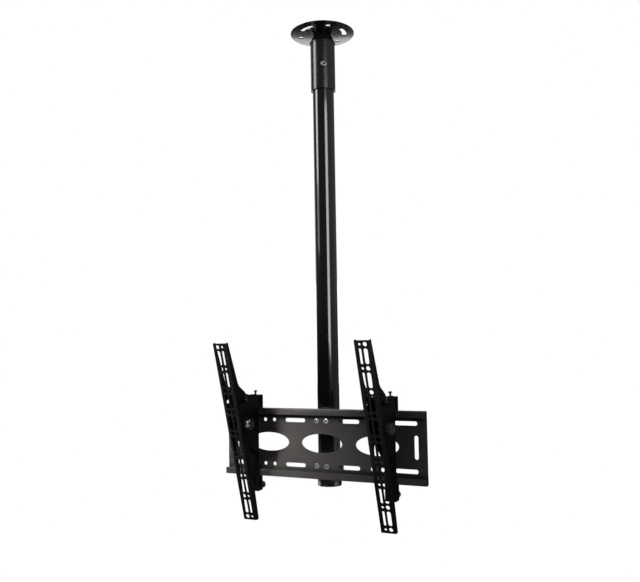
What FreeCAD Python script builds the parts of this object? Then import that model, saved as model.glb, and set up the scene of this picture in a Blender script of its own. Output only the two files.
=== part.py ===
"""Ceiling mount for a flat screen: a drop pole that carries a slotted plate and two tilting arms.

The origin is the middle of the ceiling plate's top face. Z is up, the pole's axis is Z, the screen hangs
on the -Y side and +X is to the right of someone who faces the screen. Sizes are in millimetres.
"""

import FreeCAD, Part
import Sketcher
import math
import os

Vector = FreeCAD.Vector
doc = FreeCAD.newDocument("ceiling_mount")
sheet = doc.addObject("Spreadsheet::Sheet", "sizes")
sheet_rows = []


class Size:
    """A number together with the expression that ties it to the sheet's cells."""

    def __init__(self, value, text):
        self.value = value
        self.text = text

    def joined(self, other, sign, value):
        return Size(value, "(%s %s %s)" % (self.text, sign, other.text))

    def __add__(self, other):
        other = size_of(other)
        return self.joined(other, "+", self.value + other.value)

    def __sub__(self, other):
        other = size_of(other)
        return self.joined(other, "-", self.value - other.value)

    def __mul__(self, other):
        other = size_of(other)
        return self.joined(other, "*", self.value * other.value)

    def __truediv__(self, other):
        other = size_of(other)
        return self.joined(other, "/", self.value / other.value)

    def __radd__(self, other):
        return size_of(other) + self

    def __rmul__(self, other):
        return size_of(other) * self

    def __neg__(self):
        return Size(-self.value, "(-1 * %s)" % self.text)


def size_of(number):
    """A plain number as a Size."""
    if isinstance(number, Size):
        return number
    return Size(float(number), repr(float(number)))


def sine(angle):
    """The sine of an angle in degrees."""
    return Size(math.sin(math.radians(angle.value)), "sin(%s * 1 deg)" % angle.text)


def cosine(angle):
    """The cosine of an angle in degrees."""
    return Size(math.cos(math.radians(angle.value)), "cos(%s * 1 deg)" % angle.text)


def size(name, value):
    """One driving dimension: a cell of the sheet with an alias."""
    row = len(sheet_rows) + 1
    sheet_rows.append(name)
    sheet.set("A%d" % row, name.replace("_", " "))
    sheet.set("B%d" % row, str(value))
    sheet.setAlias("B%d" % row, name)
    return Size(float(value), "sizes." + name)


# Clearances
slip = size("slip_clearance", 0.05)
free = size("free_clearance", 0.3)
gap = size("sliding_gap", 0.5)

# Button heads of screws, as shares of a head's height and radius
head_rim_share = size("head_rim_share", 0.4)
head_top_share = size("head_top_share", 0.62)

# Ceiling end
disc_r = size("disc_radius", 75)
disc_t = size("disc_thickness", 4.2)
disc_rim_t = size("disc_rim_thickness", 1.4)
rim_r = size("disc_rim_radius", 0.9)
ceiling_hole_count = size("ceiling_hole_count", 3)
ceiling_hole_r = size("ceiling_hole_radius", 6.25)
ceiling_hole_ring = size("ceiling_hole_ring_radius", 52)
ceiling_slot_r = size("ceiling_slot_radius", 5.25)
ceiling_slot_angle = size("ceiling_slot_angle", 34)
ceiling_turn = size("ceiling_hole_turn", 41)
neck_top_r = size("neck_top_radius", 20)
neck_bottom_r = size("neck_bottom_radius", 30)
neck_drop = size("neck_drop", 19.8)
neck_lip = size("neck_lip_height", 2)
neck_bore_r = size("neck_bore_radius", 15)
spigot_drop = size("neck_spigot_length", 23)
collar_wall = size("collar_wall", 3.8)
collar_drop = size("collar_length", 114)
safety_drop = size("safety_bolt_drop", 58)
safety_shank_r = size("safety_bolt_radius", 4)
safety_head_r = size("safety_head_radius", 7.5)
safety_head_h = size("safety_head_height", 4.6)
safety_turn = size("safety_bolt_turn", 30)
nut_r = size("safety_nut_radius", 7.5)
nut_t = size("safety_nut_thickness", 6.5)
set_screw_r = size("set_screw_radius", 3)
set_screw_spread = size("set_screw_spread", 60)
set_screw_low = size("set_screw_lower_drop", 103)
set_screw_proud = size("set_screw_proud", 0.4)

# Pole
pole_r = size("pole_radius", 25)
pole_wall = size("pole_wall", 2.5)
pole_drop = size("pole_length", 1000)
cap_wall = size("cap_wall", 2)
cap_floor = size("cap_floor", 3)
cap_tall = size("cap_height", 17)

# Bracket on the pole; heights are from the middle of the screen plate
plate_z = size("plate_centre_height", -955)
clamp_spacing = size("clamp_spacing", 100)
clamp_wall = size("clamp_wall", 7)
clamp_tall = size("clamp_height", 26)
pad_wide = size("clamp_pad_width", 44)
pad_y = size("clamp_pad_reach", 36)
ring_wall = size("ring_wall", 8)
ring_tall = size("ring_height", 9)
plate_screw_r = size("plate_screw_radius", 3)
plate_screw_long = size("plate_screw_length", 12)
plate_head_r = size("plate_head_radius", 5.6)
plate_head_h = size("plate_head_height", 3.2)

# Screen plate
plate_wide = size("plate_width", 492)
plate_tall = size("plate_height", 154)
sheet_t = size("plate_thickness", 2.5)
rail_deep = size("rail_depth", 14.5)
lip_tall = size("lip_height", 14.5)
bend_r = size("bend_radius", 2.4)
window_pitch = size("window_pitch", 133)
window_long = size("window_length", 100)
window_tall = size("window_height", 42)
slot_row = size("slot_row_spacing", 100)
slot_long = size("slot_length", 51)
slot_wide = size("slot_width", 9)
end_slot_in = size("end_slot_margin", 24)
end_slot_long = size("end_slot_length", 50)
pair_space = size("hole_pair_spacing", 24)
pair_r = size("hole_pair_radius", 4.25)

# Hangers
arm_x = size("arm_place", 168)
strip_wide = size("hanger_width", 26)
strip_t = size("hanger_thickness", 3)
hook_top = size("hanger_top_height", 107)
hook_leg = size("hanger_leg_length", 44)
hook_room = size("hanger_rear_clearance", 1.5)
strip_low = size("hanger_foot_depth", 112)
hook_bend_r = size("hanger_bend_radius", 4)
pivot_y = size("pivot_reach", 112)
pivot_up = size("pivot_height", 45)
pivot_r = size("pivot_radius", 5)
ear_r = size("ear_pivot_rounding", 15)
ear_low = size("ear_foot_drop", 70)
ear_heel = size("ear_heel_rounding", 8)
guide_ring = size("guide_ring_radius", 56)
guide_lean = size("guide_bolt_lean", 7)
guide_r = size("guide_bolt_radius", 4)
guide_boss_r = size("guide_boss_radius", 9)

# Arms, in a frame at the pivot: forward is -Y and up the arm is Z
arm_tilt = size("arm_tilt", 17)
arm_wide = size("arm_width", 35)
arm_t = size("arm_thickness", 2.5)
arm_front = size("arm_front_reach", 24)
arm_drop = size("arm_centre_drop", 13)
arm_bend_r = size("arm_bend_radius", 2.4)
hole_pitch = size("screen_hole_pitch", 50)
hole_count = size("screen_hole_rows", 9)
arm_end = size("arm_end_margin", 8)
small_hole_r = size("small_hole_radius", 2.9)
big_hole_r = size("big_hole_radius", 4.6)
small_hole_x = size("small_hole_offset", 5.8)
big_hole_x = size("big_hole_offset", 6)
arm_slot_long = size("arm_slot_length", 33)
flange_end = size("flange_end_depth", 8.5)
flange_mid = size("flange_flare_depth", 20)
flare_top = size("flare_start_height", 106)
flare_r = size("flare_rounding", 24)
flange_corner_r = size("flange_corner_rounding", 9)
flange_neck = size("flange_shoulder_depth", 40)
shoulder_top = size("flange_shoulder_height", 84)
ear_deep = size("flange_ear_depth", 58)
ear_top = size("flange_ear_height", 50)
ear_foot = size("flange_ear_foot", 6)
tail_deep = size("flange_tail_depth", 20)
tail_low = size("flange_tail_drop", 30)
tilt_back = size("tilt_travel_back", 17)
tilt_fore = size("tilt_travel_forward", 2)
arc_spare = size("guide_slot_spare", 1)
washer_r = size("washer_radius", 12)

# Hardware of an arm
bolt_head_r = size("pivot_head_radius", 9)
bolt_head_h = size("pivot_head_height", 6)
knob_r = size("tilt_knob_radius", 13)
knob_t = size("tilt_knob_thickness", 14)
knob_bore = size("tilt_knob_bore_depth", 10.5)
knob_lobe_r = size("tilt_knob_flute_radius", 3.2)
knob_flutes = size("tilt_knob_flutes", 8)
flute_set_out = size("knob_flute_set_out", 0.35)
guide_head_r = size("guide_head_radius", 7)
guide_head_h = size("guide_head_height", 5)
level_r = size("levelling_screw_radius", 2.5)
level_head_r = size("levelling_head_radius", 4.3)
level_head_h = size("levelling_head_height", 3.4)
level_proud = size("levelling_screw_rise", 7)
clip_wide = size("lock_clip_width", 22)
clip_t = size("lock_clip_thickness", 2.5)
clip_up = size("lock_clip_grip", 14)
clip_foot = size("lock_clip_foot", 5)
lock_up = size("lock_screw_height", 9)
lock_shank_r = size("lock_screw_radius", 3)
lock_knob_r = size("lock_knob_radius", 8)
lock_knob_t = size("lock_knob_length", 20)
lock_knob_flutes = size("lock_knob_flutes", 10)
lock_flute_r = size("lock_knob_flute_radius", 1.6)
lock_tip = size("lock_screw_tip", 6)

doc.recompute()


def bind(item, prop, number):
    """Ties one property of an object to a size."""
    item.setExpression(prop, size_of(number).text)


def place(item, x=0, y=0, z=0):
    """Ties an object's place to sizes."""
    for letter, number in zip("xyz", (x, y, z)):
        bind(item, "Placement.Base." + letter, number)
    return item


AXIS_TURN = {
    "+X": FreeCAD.Rotation(Vector(0, 1, 0), 90),
    "-X": FreeCAD.Rotation(Vector(0, 1, 0), -90),
    "+Y": FreeCAD.Rotation(Vector(1, 0, 0), -90),
    "-Y": FreeCAD.Rotation(Vector(1, 0, 0), 90),
    "+Z": FreeCAD.Rotation(),
    "-Z": FreeCAD.Rotation(Vector(1, 0, 0), 180),
}


def block(name, x, y, z, wide, deep, tall):
    """A box from its low corner."""
    item = doc.addObject("Part::Box", name)
    bind(item, "Length", wide)
    bind(item, "Width", deep)
    bind(item, "Height", tall)
    return place(item, x, y, z)


def rod(name, radius, length, at, axis="+Z"):
    """A cylinder from the middle of its first face along an axis."""
    item = doc.addObject("Part::Cylinder", name)
    item.Placement.Rotation = AXIS_TURN[axis]
    bind(item, "Radius", radius)
    bind(item, "Height", length)
    return place(item, *at)


def button_head(name, radius, height, at, axis="+Z"):
    """A button screw head with its flat side at a place: a short rim under a tapered crown."""
    rim_tall = height * head_rim_share
    rim = rod(name + "_rim", radius, rim_tall, at, axis)
    crown = doc.addObject("Part::Cone", name + "_crown")
    crown.Placement.Rotation = AXIS_TURN[axis]
    bind(crown, "Radius1", radius)
    bind(crown, "Radius2", radius * head_top_share)
    bind(crown, "Height", height - rim_tall)
    along = AXIS_TURN[axis].multVec(Vector(0, 0, 1))
    place(crown, *(size_of(a) + rim_tall * round(b) for a, b in zip(at, along)))
    return fused(name, rim, crown)


def hexagon(name, radius, height, at, axis="+Z"):
    """A six-sided prism, for nuts and bolt heads."""
    item = doc.addObject("Part::Prism", name)
    item.Placement.Rotation = AXIS_TURN[axis]
    item.Polygon = 6
    bind(item, "Circumradius", radius)
    bind(item, "Height", height)
    return place(item, *at)


def fused(name, *items):
    """Several shapes as one solid."""
    item = doc.addObject("Part::MultiFuse", name)
    item.Shapes = list(items)
    item.Refine = True
    return item


def cut(name, base, *tools):
    """A shape less the shapes of its tools."""
    item = doc.addObject("Part::Cut", name)
    item.Base = base
    item.Tool = tools[0] if len(tools) == 1 else fused(name + "_tools", *tools)
    return item


def group(name, *items):
    """Separate solids that are one node."""
    item = doc.addObject("Part::Compound", name)
    item.Links = list(items)
    return item


def turned_about_pole(item, angle):
    """Swings an object about the pole's axis by an angle from the front."""
    swing = doc.addObject("Part::Compound", item.Name + "_swung")
    swing.Links = [item]
    swing.Placement.Rotation = FreeCAD.Rotation(Vector(0, 0, 1), angle.value)
    bind(swing, "Placement.Rotation.Angle", angle)
    return swing


def body(name):
    """An empty body with its own origin planes."""
    return doc.addObject("PartDesign::Body", name)


def sketch_on(owner, name, role, offset=0):
    """A sketch on one of the body's origin planes, moved along its normal."""
    plane = [item for item in owner.Origin.OriginFeatures if item.Role == role][0]
    sketch = owner.newObject("Sketcher::SketchObject", name)
    sketch.AttachmentSupport = [(plane, "")]
    sketch.MapMode = "FlatFace"
    bind(sketch, "AttachmentOffset.Base.z", offset)
    return sketch


def pin(sketch, curve, end, x, y):
    """Holds one point of a sketch curve at two sizes from the sketch's origin."""
    for kind, axis, number in (("DistanceX", -2, size_of(x)), ("DistanceY", -1, size_of(y))):
        if number.value == 0:
            sketch.addConstraint(Sketcher.Constraint("PointOnObject", curve, end, axis))
            continue
        index = sketch.addConstraint(Sketcher.Constraint(kind, -1, 1, curve, end, number.value))
        sketch.setExpression("Constraints[%d]" % index, number.text)


def outline(sketch, points):
    """A closed outline of straight sides through points that are given as sizes."""
    spots = [Vector(size_of(x).value, size_of(y).value, 0) for x, y in points]
    first = sketch.GeometryCount
    count = len(points)
    for index, spot in enumerate(spots):
        sketch.addGeometry(Part.LineSegment(spot, spots[(index + 1) % count]))
    for index, (x, y) in enumerate(points):
        following = first + (index + 1) % count
        sketch.addConstraint(Sketcher.Constraint("Coincident", first + index, 2, following, 1))
        pin(sketch, first + index, 1, x, y)


def circle(sketch, x, y, radius):
    """A circle at a place given as sizes."""
    centre = Vector(size_of(x).value, size_of(y).value, 0)
    radius = size_of(radius)
    curve = sketch.addGeometry(Part.Circle(centre, Vector(0, 0, 1), radius.value))
    index = sketch.addConstraint(Sketcher.Constraint("Radius", curve, radius.value))
    sketch.setExpression("Constraints[%d]" % index, radius.text)
    pin(sketch, curve, 3, x, y)


def round_slot(sketch, x, y, long, wide, upright=False):
    """A slot with round ends about a middle point, lying or upright."""
    reach = (long - wide) / 2
    radius = wide / 2
    middle = (size_of(x), size_of(y))
    along = (0, 1) if upright else (1, 0)
    side = Vector(-along[1], along[0], 0) * radius.value
    ends = []
    for sign in (-1, 1):
        ends.append(tuple(m + reach * (sign * a) if a else m for m, a in zip(middle, along)))
    spots = [Vector(a.value, b.value, 0) for a, b in ends]
    turn = math.atan2(along[1], along[0])
    arcs = []
    for spot, start in ((spots[0], turn + math.pi / 2), (spots[1], turn - math.pi / 2)):
        ring = Part.Circle(spot, Vector(0, 0, 1), radius.value)
        arcs.append(sketch.addGeometry(Part.ArcOfCircle(ring, start, start + math.pi)))
    low = sketch.addGeometry(Part.LineSegment(spots[0] - side, spots[1] - side))
    high = sketch.addGeometry(Part.LineSegment(spots[1] + side, spots[0] + side))
    for one, one_end, two, two_end in (
        (arcs[0], 2, low, 1),
        (low, 2, arcs[1], 1),
        (arcs[1], 2, high, 1),
        (high, 2, arcs[0], 1),
    ):
        sketch.addConstraint(Sketcher.Constraint("Tangent", one, one_end, two, two_end))
    index = sketch.addConstraint(Sketcher.Constraint("Radius", arcs[0], radius.value))
    sketch.setExpression("Constraints[%d]" % index, radius.text)
    pin(sketch, arcs[0], 3, *ends[0])
    pin(sketch, arcs[1], 3, *ends[1])


def ellipse(sketch, x, y, long, tall):
    """An ellipse that lies along the sketch's first axis."""
    centre = Vector(size_of(x).value, size_of(y).value, 0)
    tip = centre + Vector(long.value / 2, 0, 0)
    crown = centre + Vector(0, tall.value / 2, 0)
    curve = sketch.addGeometry(Part.Ellipse(tip, crown, centre))
    sketch.exposeInternalGeometry(curve)
    major = curve + 1
    minor = curve + 2
    sketch.addConstraint(Sketcher.Constraint("Horizontal", major))
    for axis, number in ((major, long), (minor, tall)):
        index = sketch.addConstraint(Sketcher.Constraint("Distance", axis, 1, axis, 2, number.value))
        sketch.setExpression("Constraints[%d]" % index, number.text)
    pin(sketch, curve, 3, x, y)


def pad(owner, name, sketch, length, symmetric=False, reverse=False):
    """Adds a sketch's outline as a solid."""
    feature = owner.newObject("PartDesign::Pad", name)
    feature.Profile = sketch
    feature.SideType = "Symmetric" if symmetric else "One side"
    feature.Reversed = reverse
    bind(feature, "Length", length)
    doc.recompute()
    return feature


def pocket(owner, name, sketch, length):
    """Cuts a sketch's outline away on both sides of its plane."""
    before = owner.Shape.Volume
    feature = owner.newObject("PartDesign::Pocket", name)
    feature.Profile = sketch
    feature.SideType = "Symmetric"
    bind(feature, "Length", length)
    doc.recompute()
    if not owner.Shape.Volume < before:
        raise RuntimeError(name + " cuts nothing")
    return feature


def rounded(owner, name, radius, chosen):
    """Rounds the straight edges that a test chooses."""
    base = owner.Tip
    names = []
    for index, edge in enumerate(base.Shape.Edges):
        ends = [vertex.Point for vertex in edge.Vertexes]
        if edge.Curve.TypeId == "Part::GeomLine" and chosen(*ends):
            names.append("Edge%d" % (index + 1))
    if not names:
        raise RuntimeError(name + " finds no edges")
    feature = owner.newObject("PartDesign::Fillet", name)
    feature.Base = (base, names)
    bind(feature, "Radius", radius)
    doc.recompute()
    return feature


def close(one, other):
    """Whether two numbers are the same size."""
    return abs(one - size_of(other).value) < 1e-4


def edges_across(*corners):
    """A test for the edges along X that stand at one of the corners, given as Y and Z."""

    def at_corner(one, other):
        across = abs(one.z - other.z) < 1e-6 and abs(one.y - other.y) < 1e-6
        return across and any(close(one.y, y) and close(one.z, z) for y, z in corners)

    return at_corner


def revolved(owner, name, points):
    """Turns an outline of radii and heights about the body's Z axis."""
    sketch = sketch_on(owner, name + "_sketch", "XZ_Plane")
    outline(sketch, points)
    feature = owner.newObject("PartDesign::Revolution", name)
    feature.Profile = sketch
    feature.ReferenceAxis = (sketch, ["V_Axis"])
    feature.Angle = 360
    doc.recompute()
    return feature


nodes = {}


def node(name, item):
    """Names a finished sub-part."""
    item.Label = name
    nodes[name] = item
    return item


def domed_section(sketch):
    """Half the ceiling plate's section: flat above, domed below from the rim to the neck's flat seat."""
    rise = (disc_t - disc_rim_t).value
    spread = disc_r.value ** 2 - neck_top_r.value ** 2
    centre_z = spread / (2 * rise) - (disc_t.value + disc_rim_t.value) / 2
    radius = math.hypot(disc_r.value, centre_z + disc_rim_t.value)
    arc_ends = [-math.acos(across.value / radius) for across in (neck_top_r, disc_r)]
    corners = [(0, -disc_t), (0, 0), (disc_r, 0), (disc_r, -disc_rim_t)]
    spots = [Vector(size_of(x).value, size_of(y).value, 0) for x, y in corners]
    for one, other in zip(spots, spots[1:]):
        sketch.addGeometry(Part.LineSegment(one, other))
    axis, top, edge = 0, 1, 2
    ring = Part.Circle(Vector(0, centre_z, 0), Vector(0, 0, 1), radius)
    dome = sketch.addGeometry(Part.ArcOfCircle(ring, *arc_ends))
    seat_end = Vector(neck_top_r.value, -disc_t.value, 0)
    seat = sketch.addGeometry(Part.LineSegment(seat_end, spots[0]))
    joins = ((axis, 2, top, 1), (top, 2, edge, 1), (edge, 2, dome, 2), (dome, 1, seat, 1), (seat, 2, axis, 1))
    for one, one_end, two, two_end in joins:
        sketch.addConstraint(Sketcher.Constraint("Coincident", one, one_end, two, two_end))
    sketch.addConstraint(Sketcher.Constraint("PointOnObject", dome, 3, -2))
    for curve, (x, y) in zip((axis, top, edge, dome), corners[:3] + [(neck_top_r, -disc_t)]):
        pin(sketch, curve, 1, x, y)
    pin(sketch, edge, 2, *corners[3])


def ceiling_plate():
    """The thin domed plate that is bolted to the ceiling, with three holes and three curved slots."""
    disc = body("ceiling_plate")
    half = sketch_on(disc, "disc_half_section", "XZ_Plane")
    domed_section(half)
    turned = disc.newObject("PartDesign::Revolution", "disc")
    turned.Profile = half
    turned.ReferenceAxis = (half, ["V_Axis"])
    turned.Angle = 360
    doc.recompute()
    rim = disc.newObject("PartDesign::Fillet", "disc_rim")
    low_edges = []
    for index, edge in enumerate(disc.Shape.Edges):
        if close(edge.BoundBox.ZMax, -disc_rim_t) and close(edge.BoundBox.XMax, disc_r):
            low_edges.append("Edge%d" % (index + 1))
    rim.Base = (turned, low_edges)
    bind(rim, "Radius", rim_r)
    doc.recompute()
    hole_sketch = sketch_on(disc, "ceiling_hole_outline", "XY_Plane")
    circle(hole_sketch, 0, -ceiling_hole_ring, ceiling_hole_r)
    hole = pocket(disc, "ceiling_hole", hole_sketch, 4 * disc_t)
    slot_sketch = sketch_on(disc, "ceiling_slot_outline", "XY_Plane")
    straight_up = size_of(90)
    half_slot = ceiling_slot_angle / 2
    slot_ends = (straight_up - half_slot, straight_up + half_slot)
    curved_slot(slot_sketch, ceiling_hole_ring, ceiling_slot_r, *slot_ends)
    slot = pocket(disc, "ceiling_slot", slot_sketch, 4 * disc_t)
    ring = disc.newObject("PartDesign::PolarPattern", "ceiling_holes")
    ring.Originals = [hole, slot]
    ring.Axis = (hole_sketch, ["N_Axis"])
    ring.Angle = 360
    bind(ring, "Occurrences", ceiling_hole_count)
    disc.Tip = ring
    doc.recompute()
    disc.Placement.Rotation = FreeCAD.Rotation(Vector(0, 0, 1), ceiling_turn.value)
    bind(disc, "Placement.Rotation.Angle", ceiling_turn)
    return node("ceiling_plate", disc)


def curved_slot(sketch, ring, radius, first, last):
    """A slot that follows a ring about the sketch's origin between two angles from the first axis."""
    origin = Vector(0, 0, 0)
    up = Vector(0, 0, 1)
    low, high = math.radians(first.value), math.radians(last.value)
    ends = [(ring * cosine(angle), ring * sine(angle)) for angle in (first, last)]
    spots = [Vector(a.value, b.value, 0) for a, b in ends]
    inner = Part.ArcOfCircle(Part.Circle(origin, up, (ring - radius).value), low, high)
    outer = Part.ArcOfCircle(Part.Circle(origin, up, (ring + radius).value), low, high)
    start = Part.ArcOfCircle(Part.Circle(spots[0], up, radius.value), low + math.pi, low + 2 * math.pi)
    finish = Part.ArcOfCircle(Part.Circle(spots[1], up, radius.value), high, high + math.pi)
    a, b, c, d = [sketch.addGeometry(arc) for arc in (inner, outer, start, finish)]
    for arc in (a, b):
        sketch.addConstraint(Sketcher.Constraint("Coincident", arc, 3, -1, 1))
    for one, one_end, two, two_end in ((c, 1, a, 1), (c, 2, b, 1), (d, 1, b, 2), (d, 2, a, 2)):
        sketch.addConstraint(Sketcher.Constraint("Tangent", one, one_end, two, two_end))
    for arc, number in ((a, ring - radius), (b, ring + radius)):
        index = sketch.addConstraint(Sketcher.Constraint("Radius", arc, number.value))
        sketch.setExpression("Constraints[%d]" % index, number.text)
    for arc, (across, _) in ((c, ends[0]), (d, ends[1])):
        index = sketch.addConstraint(Sketcher.Constraint("DistanceX", -1, 1, arc, 3, across.value))
        sketch.setExpression("Constraints[%d]" % index, across.text)


def ceiling_neck():
    """The cone under the plate, whose spigot centres the collar and stops the pole."""
    neck = body("ceiling_neck")
    spigot_r = collar_bore - slip
    lip_z = neck_foot
    revolved(neck, "neck", [
        (neck_bore_r, -disc_t),
        (neck_top_r, -disc_t),
        (neck_bottom_r, -disc_t - neck_drop),
        (neck_bottom_r, lip_z),
        (spigot_r, lip_z),
        (spigot_r, pole_top),
        (neck_bore_r, pole_top),
    ])
    return node("ceiling_neck", neck)


neck_foot = -disc_t - neck_drop - neck_lip
pole_top = neck_foot - spigot_drop
pole_foot = pole_top - pole_drop
collar_bore = pole_r + slip * 2
collar_r = collar_bore + collar_wall
safety_z = neck_foot - safety_drop


def ceiling_collar():
    """The tube that takes the head of the pole, with its bolt and set screws."""
    tube = rod("collar_tube", collar_r, collar_drop, (0, 0, neck_foot), "-Z")
    bore = rod("collar_bore", collar_bore, collar_drop * 3, (0, 0, neck_foot + collar_drop), "-Z")
    holes = [cross_hole("collar_bolt_hole")]
    screws = []
    inner = pole_r + slip
    for low in (safety_drop, set_screw_low):
        for side in (-1, 1):
            label = "set_screw_%d_%s" % (round(low.value), "left" if side < 0 else "right")
            angle = safety_turn + set_screw_spread * side
            at = (0, -inner, neck_foot - low)
            far = (0, -inner + pole_wall, neck_foot - low)
            long = collar_r + set_screw_proud - inner
            screws.append(turned_about_pole(rod(label, set_screw_r, long, at, "-Y"), angle))
            hole = rod(label + "_hole", set_screw_r + slip, long * 3, far, "-Y")
            holes.append(turned_about_pole(hole, angle))
    node("ceiling_collar", cut("ceiling_collar", tube, bore, *holes))
    node("collar_set_screws", group("collar_set_screws", *screws))
    head_y = -collar_r - free / 3
    head = button_head("safety_head", safety_head_r, safety_head_h, (0, head_y, safety_z), "-Y")
    shank = rod("safety_shank", safety_shank_r, -head_y + collar_r + nut_t, (0, head_y, safety_z), "+Y")
    node("safety_bolt", turned_about_pole(fused("safety_bolt_solid", head, shank), safety_turn))
    nut = hexagon("safety_nut_block", nut_r, nut_t, (0, collar_r + free / 3, safety_z), "+Y")
    thread = rod("safety_nut_bore", safety_shank_r + slip, nut_t * 3, (0, collar_r - nut_t, safety_z), "+Y")
    node("safety_nut", turned_about_pole(cut("safety_nut_solid", nut, thread), safety_turn))


def cross_hole(name):
    """The hole for the safety bolt, right through the collar and the pole."""
    long = collar_r * 4
    hole = rod(name, safety_shank_r + slip, long, (0, -collar_r * 2, safety_z), "+Y")
    return turned_about_pole(hole, safety_turn)


def pole():
    """The drop pole and the cap on its foot."""
    tube = rod("pole_tube", pole_r, pole_drop, (0, 0, pole_top), "-Z")
    bore = rod("pole_bore", pole_r - pole_wall, pole_drop * 2, (0, 0, pole_top + pole_drop / 2), "-Z")
    node("pole", cut("pole", tube, bore, cross_hole("pole_bolt_hole")))
    cap = body("pole_end_cap")
    inside = pole_r + slip
    revolved(cap, "cap", [
        (0, pole_foot - cap_floor),
        (inside + cap_wall, pole_foot - cap_floor),
        (inside + cap_wall, pole_foot - cap_floor + cap_tall),
        (inside, pole_foot - cap_floor + cap_tall),
        (inside, pole_foot),
        (0, pole_foot),
    ])
    node("pole_end_cap", cap)


clamp_r = pole_r + slip + clamp_wall
lower_pair = -slot_row / 2
upper_pair = lower_pair + clamp_spacing
lower_clamp_z = plate_z + lower_pair
upper_clamp_z = plate_z + upper_pair
ring_top = lower_clamp_z - clamp_tall / 2 - slip


def rear_screw(name, radius, z):
    """A set screw at the back of a ring on the pole, and its hole."""
    inner = pole_r + slip
    long = radius + set_screw_proud - inner
    screw = rod(name, set_screw_r, long, (0, inner, z), "+Y")
    hole = rod(name + "_hole", set_screw_r + slip, long * 3, (0, inner - pole_wall, z), "+Y")
    return screw, hole


def pole_clamps():
    """The support ring and the two collars that turn on the pole above it."""
    bore = pole_r + slip
    ring_r = bore + ring_wall
    ring = rod("ring_block", ring_r, ring_tall, (0, 0, ring_top), "-Z")
    ring_bore = rod("ring_bore", bore, ring_tall * 3, (0, 0, ring_top + ring_tall), "-Z")
    screw, hole = rear_screw("ring_screw", ring_r, ring_top - ring_tall / 2)
    node("support_ring", cut("support_ring", ring, ring_bore, hole))
    node("support_ring_screw", screw)
    set_screws = []
    for name, z in (("upper", upper_clamp_z), ("lower", lower_clamp_z)):
        low = z - clamp_tall / 2
        barrel = rod(name + "_barrel", clamp_r, clamp_tall, (0, 0, low))
        front = block(name + "_pad", -pad_wide / 2, -pad_y, low, pad_wide, pad_y, clamp_tall)
        inside = rod(name + "_bore", bore, clamp_tall * 3, (0, 0, low - clamp_tall))
        screw, hole = rear_screw(name + "_set_screw", clamp_r, z)
        tapped = [hole, inside]
        for side in (-1, 1):
            at = (pair_space / 2 * side, -pad_y, z)
            deep = plate_screw_long
            tapped.append(rod("%s_tapped_%d" % (name, side + 1), plate_screw_r + slip, deep, at, "+Y"))
        solid = fused(name + "_clamp_solid", barrel, front)
        node(name + "_pole_collar", cut(name + "_pole_collar", solid, *tapped))
        set_screws.append(screw)
    node("pole_collar_set_screws", group("pole_collar_set_screws", *set_screws))


plate_back = -pad_y
plate_front = plate_back - sheet_t
lip_front = plate_back - rail_deep
plate_top = plate_tall / 2


def screen_plate():
    """The folded plate with a rail along its top and bottom edges, and its windows and slots."""
    plate = body("screen_plate")
    section = sketch_on(plate, "plate_section", "YZ_Plane")
    lip_back = lip_front + sheet_t
    flange = plate_top - sheet_t
    lip_end = plate_top - lip_tall
    half = [
        (plate_back, plate_top),
        (lip_front, plate_top),
        (lip_front, lip_end),
        (lip_back, lip_end),
        (lip_back, flange),
        (plate_front, flange),
    ]
    outline(section, half + [(y, -z) for y, z in reversed(half)])
    pad(plate, "plate_sheet", section, plate_wide, symmetric=True)
    bends = [(y, z) for y in (plate_back, lip_front) for z in (plate_top, -plate_top)]
    rounded(plate, "plate_bends", bend_r, edges_across(*bends))
    holes = sketch_on(plate, "plate_openings", "XZ_Plane")
    for column in (-1, 0, 1):
        ellipse(holes, window_pitch * column if column else 0, 0, window_long, window_tall)
        pair_rows = (-slot_row / 2, slot_row / 2) if column else (lower_pair, upper_pair)
        for pair_z in pair_rows:
            for side in (-1, 1):
                circle(holes, window_pitch * column + pair_space / 2 * side, pair_z, pair_r)
    for place_along in (-1.5, -0.5, 0.5, 1.5):
        for row in (-1, 1):
            round_slot(holes, window_pitch * place_along, slot_row / 2 * row, slot_long, slot_wide)
    for side in (-1, 1):
        end_x = (plate_wide / 2 - end_slot_in) * side
        round_slot(holes, end_x, 0, end_slot_long, slot_wide, upright=True)
    pocket(plate, "plate_windows", holes, rail_deep * 20)
    place(plate, 0, 0, plate_z)
    node("screen_plate", plate)
    screws = []
    for row, z in (("upper", upper_clamp_z), ("lower", lower_clamp_z)):
        for side in (-1, 1):
            label = "%s_plate_screw_%d" % (row, side + 1)
            at = (pair_space / 2 * side, plate_front, z)
            head = button_head(label + "_head", plate_head_r, plate_head_h, at, "-Y")
            shank = rod(label + "_shank", plate_screw_r, sheet_t + plate_screw_long, at, "+Y")
            screws.append(fused(label, head, shank))
    node("plate_screws", group("plate_screws", *screws))


strip_back = lip_front - gap
strip_front = strip_back - strip_t
leg_front = plate_back + hook_room
leg_back = leg_front + strip_t
rail_mid = (plate_back + lip_front) / 2
lock_z = -strip_low + lock_up
guide_place = (-pivot_y - guide_ring * sine(guide_lean), pivot_up + guide_ring * cosine(guide_lean))


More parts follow.
